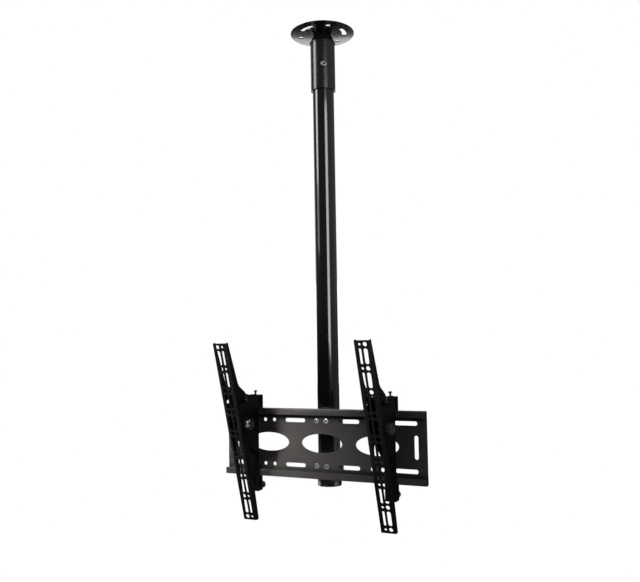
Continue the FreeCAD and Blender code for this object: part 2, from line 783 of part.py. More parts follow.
def hanger(name, x):
    """A folded strip hooked over the top rail, with two ears for the arm's pivot and guide bolt."""
    strip = body(name)
    fold = sketch_on(strip, name + "_fold", "YZ_Plane")
    outline(fold, [
        (strip_front, -strip_low),
        (strip_back, -strip_low),
        (strip_back, hook_top - strip_t),
        (leg_front, hook_top - strip_t),
        (leg_front, hook_top - hook_leg),
        (leg_back, hook_top - hook_leg),
        (leg_back, hook_top),
        (strip_front, hook_top),
    ])
    pad(strip, name + "_strip", fold, strip_wide, symmetric=True)
    rounded(strip, name + "_bends", hook_bend_r, edges_across((strip_front, hook_top), (leg_back, hook_top)))
    ear_peak = guide_place[1] + guide_boss_r
    peak = (guide_place[0] - guide_boss_r, ear_peak)
    toe = (-pivot_y - ear_r, pivot_up - ear_r)
    heel = (strip_front - ear_heel, pivot_up - ear_low)
    for side in (-1, 1):
        label = "%s_ear_%s" % (name, "left" if side < 0 else "right")
        offset = strip_wide / 2 - strip_t if side > 0 else -strip_wide / 2
        ear = sketch_on(strip, label + "_outline", "YZ_Plane", offset)
        outline(ear, [
            (strip_back, hook_top - hook_bend_r),
            (strip_front - ear_heel, ear_peak),
            peak,
            toe,
            heel,
            (strip_back, pivot_up - ear_low),
        ])
        pad(strip, label, ear, strip_t)
    rounded(strip, name + "_ear_peak", guide_boss_r, edges_across(peak))
    rounded(strip, name + "_ear_toe", ear_r, edges_across(toe))
    rounded(strip, name + "_ear_heel", ear_heel, edges_across(heel))
    across = sketch_on(strip, name + "_cross_holes", "YZ_Plane")
    circle(across, -pivot_y, pivot_up, pivot_r + slip)
    circle(across, *guide_place, guide_r + slip)
    pocket(strip, name + "_bolt_holes", across, strip_wide * 2)
    level = sketch_on(strip, name + "_level_outline", "XY_Plane", hook_top)
    circle(level, 0, rail_mid, level_r + slip)
    pocket(strip, name + "_level_hole", level, strip_t * 3)
    lock = sketch_on(strip, name + "_lock_outline", "XZ_Plane", -strip_back)
    circle(lock, 0, lock_z, lock_shank_r + slip)
    pocket(strip, name + "_lock_hole", lock, strip_t * 4)
    place(strip, x, 0, plate_z)
    return node(name, strip)


arm_long = hole_pitch * (hole_count - 1) + arm_end * 2


def arm(name, x, outer):
    """A channel with two columns of screen holes, the big ones outward, and two flared flanges."""
    channel = body(name)
    top = arm_long / 2 - arm_drop
    foot = -arm_long / 2 - arm_drop
    web = sketch_on(channel, name + "_web_outline", "XZ_Plane", arm_front)
    half = arm_wide / 2
    outline(web, [(-half, foot), (half, foot), (half, top), (-half, top)])
    pad(channel, name + "_web", web, arm_t, reverse=True)

    def spot(deep, high):
        return (deep - arm_front, high - arm_drop)

    flare = spot(flange_mid, flare_top)
    shoulder = spot(flange_neck, shoulder_top)
    ear_corners = (spot(ear_deep, ear_top), spot(ear_deep, ear_foot))
    tail = spot(tail_deep, -tail_low)
    for side in (-1, 1):
        label = "%s_flange_%s" % (name, "left" if side < 0 else "right")
        offset = half - arm_t if side > 0 else -half
        flange = sketch_on(channel, label + "_outline", "YZ_Plane", offset)
        outline(flange, [
            (-arm_front, foot),
            (-arm_front, top),
            spot(flange_end, arm_long / 2),
            flare,
            shoulder,
            *ear_corners,
            tail,
            spot(flange_end, -arm_long / 2),
        ])
        pad(channel, label, flange, arm_t)
    rounded(channel, name + "_flare", flare_r, edges_across(flare, tail))
    rounded(channel, name + "_flange_corners", flange_corner_r, edges_across(shoulder, *ear_corners))

    def is_bend(one, other):
        upright = abs(one.x - other.x) < 1e-6 and abs(one.y - other.y) < 1e-6
        return upright and close(abs(one.x), half) and close(one.y, -arm_front)

    rounded(channel, name + "_bends", arm_bend_r, is_bend)
    rows = hole_count - 1
    first_z = -hole_pitch * rows / 2 - arm_drop
    columns = ((small_hole_r, -small_hole_x * outer), (big_hole_r, big_hole_x * outer))
    hole = sketch_on(channel, name + "_hole_outline", "XZ_Plane", arm_front)
    for radius, across in columns:
        circle(hole, across, first_z, radius)
    holes = pocket(channel, name + "_hole", hole, arm_t * 4)
    slot = sketch_on(channel, name + "_slot_outline", "XZ_Plane", arm_front)
    for radius, across in columns:
        round_slot(slot, across, first_z + hole_pitch / 2, arm_slot_long, radius * 2, upright=True)
    slots = pocket(channel, name + "_slot", slot, arm_t * 4)
    row_of(channel, name + "_holes", holes, hole, rows, hole_count)
    row_of(channel, name + "_slots", slots, slot, rows - 1, rows)
    cross = sketch_on(channel, name + "_cross_holes", "YZ_Plane")
    circle(cross, 0, 0, pivot_r + slip)
    # At rest the guide bolt stands behind the arm's own axis by the tilt, less the bolt's lean.
    bolt_angle = size_of(90) - arm_tilt + guide_lean
    slot_ends = (bolt_angle - tilt_fore - arc_spare, bolt_angle + tilt_back + arc_spare)
    curved_slot(cross, guide_ring, guide_r + free, *slot_ends)
    pocket(channel, name + "_bolt_holes", cross, arm_wide * 2)
    channel.Placement.Rotation = FreeCAD.Rotation(Vector(1, 0, 0), arm_tilt.value)
    bind(channel, "Placement.Rotation.Angle", arm_tilt)
    place(channel, x, -pivot_y, plate_z + pivot_up)
    return node(name, channel)


def row_of(owner, name, feature, sketch, steps, count):
    """Repeats a cut up the arm at the pitch of the screen's holes."""
    row = owner.newObject("PartDesign::LinearPattern", name)
    row.Originals = [feature]
    row.Direction = (sketch, ["V_Axis"])
    bind(row, "Length", hole_pitch * steps)
    bind(row, "Occurrences", count)
    owner.Tip = row
    doc.recompute()


def arm_hardware(name, x):
    """The bolts, washers, knobs, clip and screw of one arm."""
    y = -pivot_y
    z = plate_z + pivot_up
    half = arm_wide / 2 + slip * 2
    head = hexagon(name + "_pivot_head", bolt_head_r, bolt_head_h, (x - half, y, z), "-X")
    shank = rod(name + "_pivot_shank", pivot_r, half * 2 + knob_bore - gap, (x - half, y, z), "+X")
    node(name + "_pivot_bolt", fused(name + "_pivot_bolt", head, shank))
    washer_t = (arm_wide - strip_wide) / 2 - arm_t - slip
    washers = []
    for side, axis in ((-1, "-X"), (1, "+X")):
        at = (x + strip_wide / 2 * side, y, z)
        ring = rod("%s_washer_%d" % (name, side + 1), washer_r, washer_t, at, axis)
        bore = rod("%s_washer_bore_%d" % (name, side + 1), pivot_r + slip, washer_t * 3, at, axis)
        washers.append(cut("%s_washer_ring_%d" % (name, side + 1), ring, bore))
    node(name + "_tilt_washers", group(name + "_tilt_washers", *washers))
    guide_y = guide_place[0]
    guide_z = plate_z + guide_place[1]
    head_at = (x - half, guide_y, guide_z)
    guide_head = button_head(name + "_guide_head", guide_head_r, guide_head_h, head_at, "-X")
    guide_long = half * 2 + guide_head_h
    guide_shank = rod(name + "_guide_shank", guide_r, guide_long, head_at, "+X")
    node(name + "_guide_bolt", fused(name + "_guide_bolt", guide_head, guide_shank))
    nut = hexagon(name + "_guide_nut_block", guide_head_r, guide_head_h, (x + half, guide_y, guide_z), "+X")
    thread_at = (x + half - guide_head_h, guide_y, guide_z)
    thread = rod(name + "_guide_thread", guide_r + slip, guide_head_h * 3, thread_at, "+X")
    node(name + "_guide_nut", cut(name + "_guide_nut", nut, thread))
    knob = fluted_knob(name + "_tilt_knob", knob_r, knob_t, knob_flutes, knob_lobe_r)
    bore = rod(name + "_tilt_knob_bore", pivot_r + slip, knob_bore, (0, 0, 0))
    knob = cut(name + "_tilt_knob_solid", knob, bore)
    knob.Placement.Rotation = AXIS_TURN["+X"]
    place(knob, x + half, y, z)
    node(name + "_tilt_knob", knob)
    levelling(name, x)
    lock(name, x)


def fluted_knob(name, radius, thick, flutes, flute_r):
    """A round hand knob with flutes for the fingers round its rim."""
    grip = body(name + "_grip")
    sketch = sketch_on(grip, name + "_outline", "XY_Plane")
    circle(sketch, 0, 0, radius)
    pad(grip, name + "_disc", sketch, thick)
    flute = sketch_on(grip, name + "_flute_outline", "XY_Plane")
    circle(flute, radius + flute_r * flute_set_out, 0, flute_r)
    groove = pocket(grip, name + "_flute", flute, thick * 4)
    ring = grip.newObject("PartDesign::PolarPattern", name + "_flutes")
    ring.Originals = [groove]
    ring.Axis = (flute, ["N_Axis"])
    ring.Angle = 360
    bind(ring, "Occurrences", flutes)
    grip.Tip = ring
    doc.recompute()
    return grip


def levelling(name, x):
    """The screw through the hanger's top that stands on the rail and sets the screen level."""
    foot = plate_z + plate_top
    under_head = hook_top + level_proud - plate_top
    shank = rod(name + "_level_shank", level_r, under_head, (x, rail_mid, foot))
    head = button_head(name + "_level_head", level_head_r, level_head_h, (x, rail_mid, foot + under_head))
    node(name + "_levelling_screw", fused(name + "_levelling_screw", shank, head))


def lock(name, x):
    """The clip that grips the bottom rail from behind and the knob that draws it to the hanger."""
    low = plate_z - strip_low
    clip_y = plate_back + gap
    tall = strip_low - plate_top + clip_up
    blade = block(name + "_clip_blade", x - clip_wide / 2, clip_y, low, clip_wide, clip_t, tall)
    foot_deep = clip_y - strip_back
    foot = block(name + "_clip_foot", x - clip_wide / 2, strip_back, low, clip_wide, foot_deep, clip_foot)
    hole_at = (x, strip_back, plate_z + lock_z)
    hole = rod(name + "_clip_hole", lock_shank_r + slip, rail_deep * 3, hole_at, "+Y")
    solid = fused(name + "_clip_solid", blade, foot)
    node(name + "_lock_clip", cut(name + "_lock_clip", solid, hole))
    knob_y = clip_y + clip_t + slip
    grip = fluted_knob(name + "_lock_knob", lock_knob_r, lock_knob_t, lock_knob_flutes, lock_flute_r)
    grip.Placement.Rotation = AXIS_TURN["+Y"]
    place(grip, x, knob_y, plate_z + lock_z)
    long = knob_y - strip_front + lock_tip
    shank = rod(name + "_lock_shank", lock_shank_r, long, (x, knob_y, plate_z + lock_z), "-Y")
    node(name + "_lock_knob", fused(name + "_lock_knob_solid", grip, shank))


ceiling_plate()
ceiling_neck()
ceiling_collar()
pole()
pole_clamps()
screen_plate()
for side_name, side in (("left", -1), ("right", 1)):
    middle = arm_x * side
    hanger(side_name + "_hanger", middle)
    arm(side_name + "_arm", middle, side)
    arm_hardware(side_name, middle)
doc.recompute()

for item in doc.Objects:
    if "Invalid" in item.State or "Error" in item.State:
        raise RuntimeError("%s did not build: %s" % (item.Name, item.State))
for name, item in nodes.items():
    if item.Shape.isNull() or not item.Shape.isValid():
        raise RuntimeError(name + " has no valid shape")
    if not item.Shape.Solids:
        raise RuntimeError(name + " has no solid")

os.makedirs("parts", exist_ok=True)
for name, item in nodes.items():
    item.Shape.exportStep("parts/%s.step" % name)
    print("%-26s solids %d  volume %.0f" % (name, len(item.Shape.Solids), item.Shape.Volume))
print(len(nodes), "nodes")
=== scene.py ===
"""Ceiling mount for a flat screen: finishes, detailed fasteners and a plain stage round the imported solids.

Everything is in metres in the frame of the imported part: the origin is the middle of the ceiling plate's top
face, +Z is up along the pole and -Y is towards the screen.
"""

import logging
import math
from dataclasses import dataclass
from enum import Enum
from functools import cache, cached_property
from typing import Iterable, Optional, Sequence, Union

import bmesh
import bpy
from mathutils import Matrix, Vector


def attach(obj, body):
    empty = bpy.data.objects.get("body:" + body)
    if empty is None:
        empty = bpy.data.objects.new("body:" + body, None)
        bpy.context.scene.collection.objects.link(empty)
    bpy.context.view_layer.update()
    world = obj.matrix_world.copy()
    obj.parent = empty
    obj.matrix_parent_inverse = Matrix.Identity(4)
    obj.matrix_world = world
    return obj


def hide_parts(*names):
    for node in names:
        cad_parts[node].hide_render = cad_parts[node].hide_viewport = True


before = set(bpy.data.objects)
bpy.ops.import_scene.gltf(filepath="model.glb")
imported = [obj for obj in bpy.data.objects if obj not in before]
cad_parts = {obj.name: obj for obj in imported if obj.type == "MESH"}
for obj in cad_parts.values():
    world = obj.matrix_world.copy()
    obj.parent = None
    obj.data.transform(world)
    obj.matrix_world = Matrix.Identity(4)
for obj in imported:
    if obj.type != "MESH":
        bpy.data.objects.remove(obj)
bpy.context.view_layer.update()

log = logging.getLogger("ceiling_mount")

MM = 0.001
WELD_DISTANCE = 2e-6
NEAR = 4 * WELD_DISTANCE
SHARP_ANGLE = math.radians(32)
BROKEN_EDGE_ANGLE = math.radians(40)
TURN_SEGMENTS = 48
UP, FRONT, REAR, LEFTWARD, RIGHTWARD = (0, 0, 1), (0, -1, 0), (0, 1, 0), (-1, 0, 0), (1, 0, 0)
WHITE = (1.0, 1.0, 1.0)

# Where the values of a noise texture mostly lie
NOISE_SPAN = (0.3, 0.7)

# A thread's ridge, as shares of its pitch, and the steps of one turn
THREAD_DEPTH = 0.55
THREAD_HALF_WIDTH = 0.44
THREAD_STEPS = 20

# A hexagon socket: the sloped lead as a share of its depth, and the drill point as a share of its corners
SOCKET_LEAD = 0.04
SOCKET_POINT = 0.3

Colour = tuple[float, float, float]
Point = Sequence[float]
Socket = bpy.types.NodeSocket
Input = Union[Socket, float, Sequence[float]]


class Finish(Enum):
    """The finishes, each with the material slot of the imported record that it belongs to."""

    # One satin black coat in two copies: the plate's is lighter for painted light, the arms' darker for
    # painted shade
    LIT_PLATE_COAT = ("lit_plate_coat", "satin_black")
    SHADED_ARM_COAT = ("shaded_arm_coat", "satin_black")
    DISC_COAT = ("disc_coat", "gloss_black")
    COLLAR_COAT = ("collar_coat", "gloss_black")
    POLE_COAT = ("pole_coat", "gloss_black")
    ZINC = ("dull_zinc", "bright_screw")
    OXIDE = ("black_oxide", "dark_screw")
    # A lighter copy of the black oxide, for painted glints on the plate screws
    LIT_OXIDE = ("lit_oxide", "dark_screw")
    KNOB = ("moulded_knob", "knob_plastic")
    CAP = ("moulded_cap", "cap_plastic")
    WASHER = ("nylon_washer", "washer_plastic")

    @property
    def label(self) -> str:
        """The name of the finish's material."""
        return self.value[0]

    @property
    def slot(self) -> str:
        """The finish's material slot."""
        return self.value[1]


class Side(Enum):
    """The two arms, with the sign of their place along X."""

    LEFT = ("left", -1)
    RIGHT = ("right", 1)

    @property
    def word(self) -> str:
        """The side's name in node and body names."""
        return self.value[0]

    @property
    def sign(self) -> int:
        """The side's sign along X."""
        return self.value[1]


# Shared effects of the finishes


class NodeWiring:
    """A node tree with short ways to add nodes and to join them."""

    def __init__(self, tree: bpy.types.NodeTree) -> None:
        """Takes the tree that is to be filled."""
        self.tree = tree

    def feed(self, target: Socket, source: Input) -> None:
        """Links a socket to another one, or sets its constant value.

        Args:
            target: The socket that is fed.
            source: A socket of another node, or a constant.
        """
        if isinstance(source, bpy.types.NodeSocket):
            self.tree.links.new(source, target)
        else:
            target.default_value = source

    def add(
        self,
        kind: str,
        inputs: Optional[dict[Union[str, int], Input]] = None,
        **settings: object,
    ) -> bpy.types.NodeOutputs:
        """Adds a node.

        Args:
            kind: The node's type, without the word that all of them start with.
            inputs: What goes into its sockets.
            settings: The node's own settings.

        Returns:
            The node's outputs.
        """
        node = self.tree.nodes.new("ShaderNode" + kind)
        for label, value in settings.items():
            setattr(node, label, value)
        for label, source in (inputs or {}).items():
            self.feed(node.inputs[label], source)
        return node.outputs

    def place(self) -> Socket:
        """The place of the shaded point in the frame of its piece."""
        return self.add("TexCoord")["Object"]

    def noise(self, place: Socket, scale: Input, detail: float, roughness: float = 0.5) -> Socket:
        """A noise texture's value.

        Args:
            place: Where the texture is read.
            scale: How fine it is.
            detail: The number of its finer layers.
            roughness: The strength of these layers.

        Returns:
            A value that mostly lies in the noise span.
        """
        inputs = {"Vector": place, "Scale": scale, "Detail": detail, "Roughness": roughness}
        return self.add("TexNoise", inputs)["Fac"]

    def combine(self, operation: str, first: Input, second: Input, clamp: bool = False) -> Socket:
        """Joins two values by an operation."""
        return self.add("Math", {0: first, 1: second}, operation=operation, use_clamp=clamp)["Value"]

    def dot(self, first: Input, second: Input) -> Socket:
        """How far two directions agree."""
        return self.add("VectorMath", {0: first, 1: second}, operation="DOT_PRODUCT")["Value"]

    def height_of(self, place: Socket) -> Socket:
        """The Z value of a place or direction."""
        return self.add("SeparateXYZ", {"Vector": place})["Z"]

    def remap(
        self,
        source: Socket,
        start: float,
        end: float,
        low: float = 0.0,
        high: float = 1.0,
        curve: str = "LINEAR",
    ) -> Socket:
        """Spreads a value over a range, and holds it there beyond both ends.

        Args:
            source: The value to spread.
            start: Where it gives the low result.
            end: Where it gives the high result.
            low: The result at the start.
            high: The result at the end.
            curve: How it goes from one to the other.

        Returns:
            The spread value.
        """
        inputs = {"Value": source, "From Min": start, "From Max": end, "To Min": low, "To Max": high}
        return self.add("MapRange", inputs, interpolation_type=curve)["Result"]

    def ease(self, source: Socket, start: float, end: float, low: float = 0.0, high: float = 1.0) -> Socket:
        """Spreads a value over a range with soft ends."""
        return self.remap(source, start, end, low, high, "SMOOTHSTEP")

    def layer(self, mask: Input, under: Socket, over: Socket) -> Socket:
        """Lays one shader over another by a mask."""
        return self.add("MixShader", {"Fac": mask, 1: under, 2: over})["Shader"]


class EffectWiring(NodeWiring):
    """The node group of one shared effect while it is filled."""

    def __init__(self, name: str, outputs: Sequence[str], **inputs: float) -> None:
        """Makes a group with float sockets.

        Args:
            name: The group's name.
            outputs: The names of its outputs.
            inputs: Each input's name and default.
        """
        super().__init__(bpy.data.node_groups.new(name, "ShaderNodeTree"))
        for label, default in inputs.items():
            socket = self.tree.interface.new_socket(name=label, in_out="INPUT", socket_type="NodeSocketFloat")
            socket.default_value = default
        for label in outputs:
            self.tree.interface.new_socket(name=label, in_out="OUTPUT", socket_type="NodeSocketFloat")
        self.given = self.tree.nodes.new("NodeGroupInput").outputs
        self.result = self.tree.nodes.new("NodeGroupOutput").inputs


class EffectGroups:
    """The effects that several finishes share, each made when it is first used."""

    @cached_property
    def coat_peel(self) -> bpy.types.ShaderNodeTree:
        """The orange peel of a sprayed coat: a height, and a slow drift for its gloss.

        Returns:
            The node group, with the input Scale and the outputs Height and Drift.
        """
        nodes = EffectWiring("coat_peel", ("Height", "Drift"), Scale=900.0)
        place = nodes.place()
        peel = nodes.noise(place, nodes.given["Scale"], detail=3.0, roughness=0.55)
        nodes.feed(nodes.result["Height"], peel)
        nodes.feed(nodes.result["Drift"], nodes.noise(place, 22.0, detail=4.0))
        return nodes.tree

    @cached_property
    def edge_wear(self) -> bpy.types.ShaderNodeTree:
        """A broken mask along the outer edges, where a finish is rubbed thin.

        Returns:
            The node group, with the inputs Radius and Amount and the output Mask.
        """
        nodes = EffectWiring("edge_wear", ("Mask",), Radius=0.8 * MM, Amount=1.0)
        softened = nodes.add("Bevel", {"Radius": nodes.given["Radius"]}, samples=4)["Normal"]
        agreement = nodes.dot(softened, nodes.add("NewGeometry")["Normal"])
        edges = nodes.remap(agreement, 0.985, 0.86)
        patches = nodes.remap(nodes.noise(nodes.place(), 140.0, detail=6.0), 0.46, 0.72)
        worn = nodes.combine("MULTIPLY", edges, patches)
        nodes.feed(nodes.result["Mask"], nodes.combine("MULTIPLY", worn, nodes.given["Amount"], clamp=True))
        return nodes.tree

    @cached_property
    def fine_lines(self) -> bpy.types.ShaderNodeTree:
        """Fine turning or drawing lines that run round or along a metal piece.

        Returns:
            The node group, with the inputs Scale and Stretch and the output Lines.
        """
        nodes = EffectWiring("fine_lines", ("Lines",), Scale=900.0, Stretch=0.06)
        squeeze = nodes.add("CombineXYZ", {"X": 1.0, "Y": 1.0, "Z": nodes.given["Stretch"]})["Vector"]
        drawn = nodes.add("VectorMath", {0: nodes.place(), 1: squeeze}, operation="MULTIPLY")["Vector"]
        nodes.feed(nodes.result["Lines"], nodes.noise(drawn, nodes.given["Scale"], detail=2.0))
        return nodes.tree

    @cached_property
    def upper_face(self) -> bpy.types.ShaderNodeTree:
        """Everything above a height, such as the face of a plate that lies against a ceiling.

        Returns:
            The node group, with the input Height and the output Mask.
        """
        nodes = EffectWiring("upper_face", ("Mask",), Height=0.0)
        higher = nodes.combine("GREATER_THAN", nodes.height_of(nodes.place()), nodes.given["Height"])
        nodes.feed(nodes.result["Mask"], higher)
        return nodes.tree

    @cached_property
    def fold_shade(self) -> bpy.types.ShaderNodeTree:
        """Painted shade inside folds and recesses: a mask where the piece's own faces close in, used for a
        dark colour and a dull finish.

        Returns:
            The node group, with the input Reach and the output Mask.
        """
        nodes = EffectWiring("fold_shade", ("Mask",), Reach=12.0 * MM)
        reach = {"Distance": nodes.given["Reach"]}
        open_air = nodes.add("AmbientOcclusion", reach, samples=12, only_local=True)["AO"]
        nodes.feed(nodes.result["Mask"], nodes.ease(open_air, 0.91, 0.80))
        return nodes.tree


EFFECTS = EffectGroups()


# Finishes


def opaque(colour: Colour) -> tuple[float, float, float, float]:
    """A colour with full alpha, as a colour socket takes it."""
    return (*colour, 1.0)


class FinishWiring(NodeWiring):
    """The node tree of one material while a finish fills it."""

    def __init__(self, name: str) -> None:
        """Makes a material with a Principled BSDF.

        Args:
            name: The material's name.
        """
        self.material = bpy.data.materials.new(name)
        self.material.use_nodes = True
        super().__init__(self.material.node_tree)
        self.shader = self.tree.nodes["Principled BSDF"]

    def effect(self, group: bpy.types.ShaderNodeTree, **values: float) -> bpy.types.NodeOutputs:
        """Places a shared effect with its own values.

        Args:
            group: The effect's node group.
            values: A value for each input that differs from the default.

        Returns:
            The effect's outputs.
        """
        return self.add("Group", values, node_tree=group)

    def lay_colour(self, mask: Socket, under: Input, over: Input) -> Socket:
        """Lays one colour over another by a mask."""
        return self.add("Mix", {"Factor": mask, "A": under, "B": over}, data_type="RGBA")["Result"]

    def lay_value(self, mask: Socket, under: Input, over: Input) -> Socket:
        """Lays one value over another by a mask."""
        return self.add("Mix", {"Factor": mask, "A": under, "B": over}, data_type="FLOAT")["Result"]

    def bump(self, height: Socket, strength: float, distance: float) -> None:
        """Sends a height to the shader's normal."""
        raised = self.add("Bump", {"Height": height, "Strength": strength, "Distance": distance})
        self.feed(self.shader.inputs["Normal"], raised["Normal"])

    def shade(self, **inputs: Input) -> None:
        """Feeds inputs of the shader, with underscores for the spaces of their names."""
        for label, source in inputs.items():
            self.feed(self.shader.inputs[label.replace("_", " ")], source)


@dataclass(frozen=True)
class PowderCoat:
    """Black powder coat on steel, with orange peel, thin spots on the edges, and painted shade in its folds,
    which are also dull.
    """

    colour: Colour
    thin: Colour
    smooth: float
    dull: float
    peel_scale: float
    peel_depth: float
    coat: float
    wear: float
    gloss: float = 0.5
    fold: float = 20.0 * MM
    # Painted shade: the near-black colour laid into folds by the fold-shade mask
    fold_shade_colour: Colour = (0.0004, 0.0004, 0.0004)
    matt: float = 1.0
    unseen_above: Optional[float] = None
    peel_strength: float = 0.35
    coat_dull: float = 0.06
    ior: float = 1.5

    def material(self, name: str) -> bpy.types.Material:
        """Makes the coat's material.

        Args:
            name: The material's name.

        Returns:
            The material.
        """
        nodes = FinishWiring(name)
        peel = nodes.effect(EFFECTS.coat_peel, Scale=self.peel_scale)
        wear = nodes.effect(EFFECTS.edge_wear, Amount=self.wear)["Mask"]
        folds = nodes.effect(EFFECTS.fold_shade, Reach=self.fold)["Mask"]
        worn = nodes.lay_colour(wear, opaque(self.colour), opaque(self.thin))
        drift = nodes.remap(peel["Drift"], *NOISE_SPAN, self.smooth, self.dull)
        matt_at = folds
        coat = self.coat
        if self.unseen_above is not None:
            unseen = nodes.effect(EFFECTS.upper_face, Height=self.unseen_above)["Mask"]
            matt_at = nodes.combine("MAXIMUM", folds, unseen)
            coat = nodes.lay_value(unseen, self.coat, 0.0)
        nodes.shade(
            # painted shade: folds take the near-black colour
            Base_Color=nodes.lay_colour(folds, worn, opaque(self.fold_shade_colour)),
            Roughness=nodes.lay_value(matt_at, drift, self.matt),
            Coat_Weight=coat, Coat_Roughness=self.coat_dull, IOR=self.ior, Specular_IOR_Level=self.gloss,
        )
        nodes.bump(peel["Height"], self.peel_strength, self.peel_depth)
        return nodes.material


@dataclass(frozen=True)
class PlatedSteel:
    """Plated or blackened steel of a fastener, with fine turning lines, rubbed edges and painted shade in its
    recesses.
    """

    colour: Colour
    rubbed: Colour
    smooth: float
    dull: float
    # Painted shade: the dark colour laid into sockets and thread valleys by the occlusion mask
    recess_shade: Colour = (0.008, 0.008, 0.0078)
    rub_width: float = 0.9 * MM
    recess: float = 3.0 * MM
    line_scale: float = 1600.0
    line_stretch: float = 0.2
    line_strength: float = 0.15
    line_depth: float = 0.04 * MM

    def material(self, name: str) -> bpy.types.Material:
        """Makes the steel's material.

        Args:
            name: The material's name.

        Returns:
            The material.
        """
        nodes = FinishWiring(name)
        lines = nodes.effect(EFFECTS.fine_lines, Scale=self.line_scale, Stretch=self.line_stretch)["Lines"]
        wear = nodes.effect(EFFECTS.edge_wear, Radius=self.rub_width)["Mask"]
        recesses = nodes.effect(EFFECTS.fold_shade, Reach=self.recess)["Mask"]
        worn = nodes.lay_colour(wear, opaque(self.colour), opaque(self.rubbed))
        nodes.shade(
            # painted shade: recesses take the dark colour
            Base_Color=nodes.lay_colour(recesses, worn, opaque(self.recess_shade)),
            Roughness=nodes.remap(lines, *NOISE_SPAN, self.smooth, self.dull),
            Metallic=1.0,
        )
        nodes.bump(lines, self.line_strength, self.line_depth)
        return nodes.material


@dataclass(frozen=True)
class MouldedPlastic:
    """Moulded plastic with the fine grain of its mould and scuffed edges."""

    colour: Colour
    scuffed: Colour
    smooth: float
    dull: float
    grain_scale: float
    grain_depth: float
    grain_strength: float = 0.5
    scuff_width: float = 0.6 * MM
    scuffing: float = 0.6
    ior: float = 1.46

    def material(self, name: str) -> bpy.types.Material:
        """Makes the plastic's material.

        Args:
            name: The material's name.

        Returns:
            The material.
        """
        nodes = FinishWiring(name)
        grain = nodes.effect(EFFECTS.coat_peel, Scale=self.grain_scale)
        scuffs = nodes.effect(EFFECTS.edge_wear, Radius=self.scuff_width, Amount=self.scuffing)["Mask"]
        nodes.shade(
            Base_Color=nodes.lay_colour(scuffs, opaque(self.colour), opaque(self.scuffed)),
            Roughness=nodes.remap(grain["Drift"], *NOISE_SPAN, self.smooth, self.dull),
            IOR=self.ior,
        )
        nodes.bump(grain["Height"], self.grain_strength, self.grain_depth)
        return nodes.material


FINISHES = {
    # The plate's coat and the arms' coat are one satin black in two copies: the plate's colour is lighter,
    # for painted light, and the arms' darker, for painted shade
    Finish.LIT_PLATE_COAT: PowderCoat(
        colour=(0.012, 0.0109, 0.0107), thin=(0.05, 0.047, 0.045), gloss=0.36,
        smooth=0.40, dull=0.50, peel_scale=1300.0, peel_depth=0.06 * MM, coat=0.0, wear=0.5,
    ),
    Finish.SHADED_ARM_COAT: PowderCoat(
        colour=(0.0009, 0.0009, 0.0009), thin=(0.02, 0.019, 0.018), gloss=0.16,
        smooth=0.34, dull=0.42, peel_scale=1300.0, peel_depth=0.06 * MM, coat=0.0, wear=0.5,
    ),
    Finish.DISC_COAT: PowderCoat(
        colour=(0.004, 0.004, 0.0038), thin=(0.03, 0.03, 0.03), unseen_above=-0.2 * MM,
        smooth=0.16, dull=0.20, peel_scale=900.0, peel_depth=0.004 * MM, coat=0.3, wear=0.4,
    ),
    Finish.COLLAR_COAT: PowderCoat(
        colour=(0.006, 0.006, 0.0056), thin=(0.05, 0.05, 0.05),
        smooth=0.20, dull=0.25, peel_scale=700.0, peel_depth=0.003 * MM, coat=0.0, wear=0.5,
    ),
    Finish.POLE_COAT: PowderCoat(
        colour=(0.0012, 0.0012, 0.0011), thin=(0.03, 0.03, 0.03),
        smooth=0.10, dull=0.14, peel_scale=420.0, peel_depth=0.0015 * MM, coat=0.3, wear=0.4,
    ),
    Finish.ZINC: PlatedSteel(
        colour=(0.20, 0.20, 0.196), rubbed=(0.42, 0.42, 0.41), smooth=0.30, dull=0.44,
    ),
    Finish.OXIDE: PlatedSteel(
        colour=(0.05, 0.049, 0.048), rubbed=(0.30, 0.29, 0.28), smooth=0.20, dull=0.32,
    ),
    # A lighter copy of the black oxide with near-white edges, for painted glints on the plate screws
    Finish.LIT_OXIDE: PlatedSteel(
        colour=(0.34, 0.335, 0.33), rubbed=(0.85, 0.84, 0.83), smooth=0.22, dull=0.36,
    ),
    Finish.KNOB: MouldedPlastic(
        colour=(0.006, 0.006, 0.006), scuffed=(0.03, 0.03, 0.03),
        smooth=0.52, dull=0.64, grain_scale=2200.0, grain_depth=0.08 * MM,
    ),
    Finish.CAP: MouldedPlastic(
        colour=(0.008, 0.008, 0.008), scuffed=(0.025, 0.025, 0.025),
        smooth=0.24, dull=0.34, grain_scale=1500.0, grain_depth=0.03 * MM,
    ),
    Finish.WASHER: MouldedPlastic(
        colour=(0.016, 0.016, 0.016), scuffed=(0.04, 0.04, 0.04),
        smooth=0.38, dull=0.48, grain_scale=1800.0, grain_depth=0.05 * MM,
    ),
}


@cache
def material_of(finish: Finish) -> bpy.types.Material:
    """The material of a finish, made when it is first used."""
    return FINISHES[finish].material(finish.label)


# Shapes by operators, each about its own Z axis


def seat(at: Point, axis: Point, spin: float = 0.0) -> Matrix:
    """The transform that stands a shape on a place.

    Args:
        at: Where the shape's origin goes.
        axis: Where its Z axis points.
        spin: A turn about its own axis first, in radians.

    Returns:
        The transform.
    """
    lean = Vector(UP).rotation_difference(Vector(axis)).to_matrix().to_4x4()
    return Matrix.Translation(Vector(at)) @ lean @ Matrix.Rotation(spin, 4, "Z")


def on_ring(vert: bmesh.types.BMVert, radius: float, height: float) -> bool:
    """Whether a vertex lies on a ring about Z."""
    return abs(vert.co.xy.length - radius) < NEAR and abs(vert.co.z - height) < NEAR


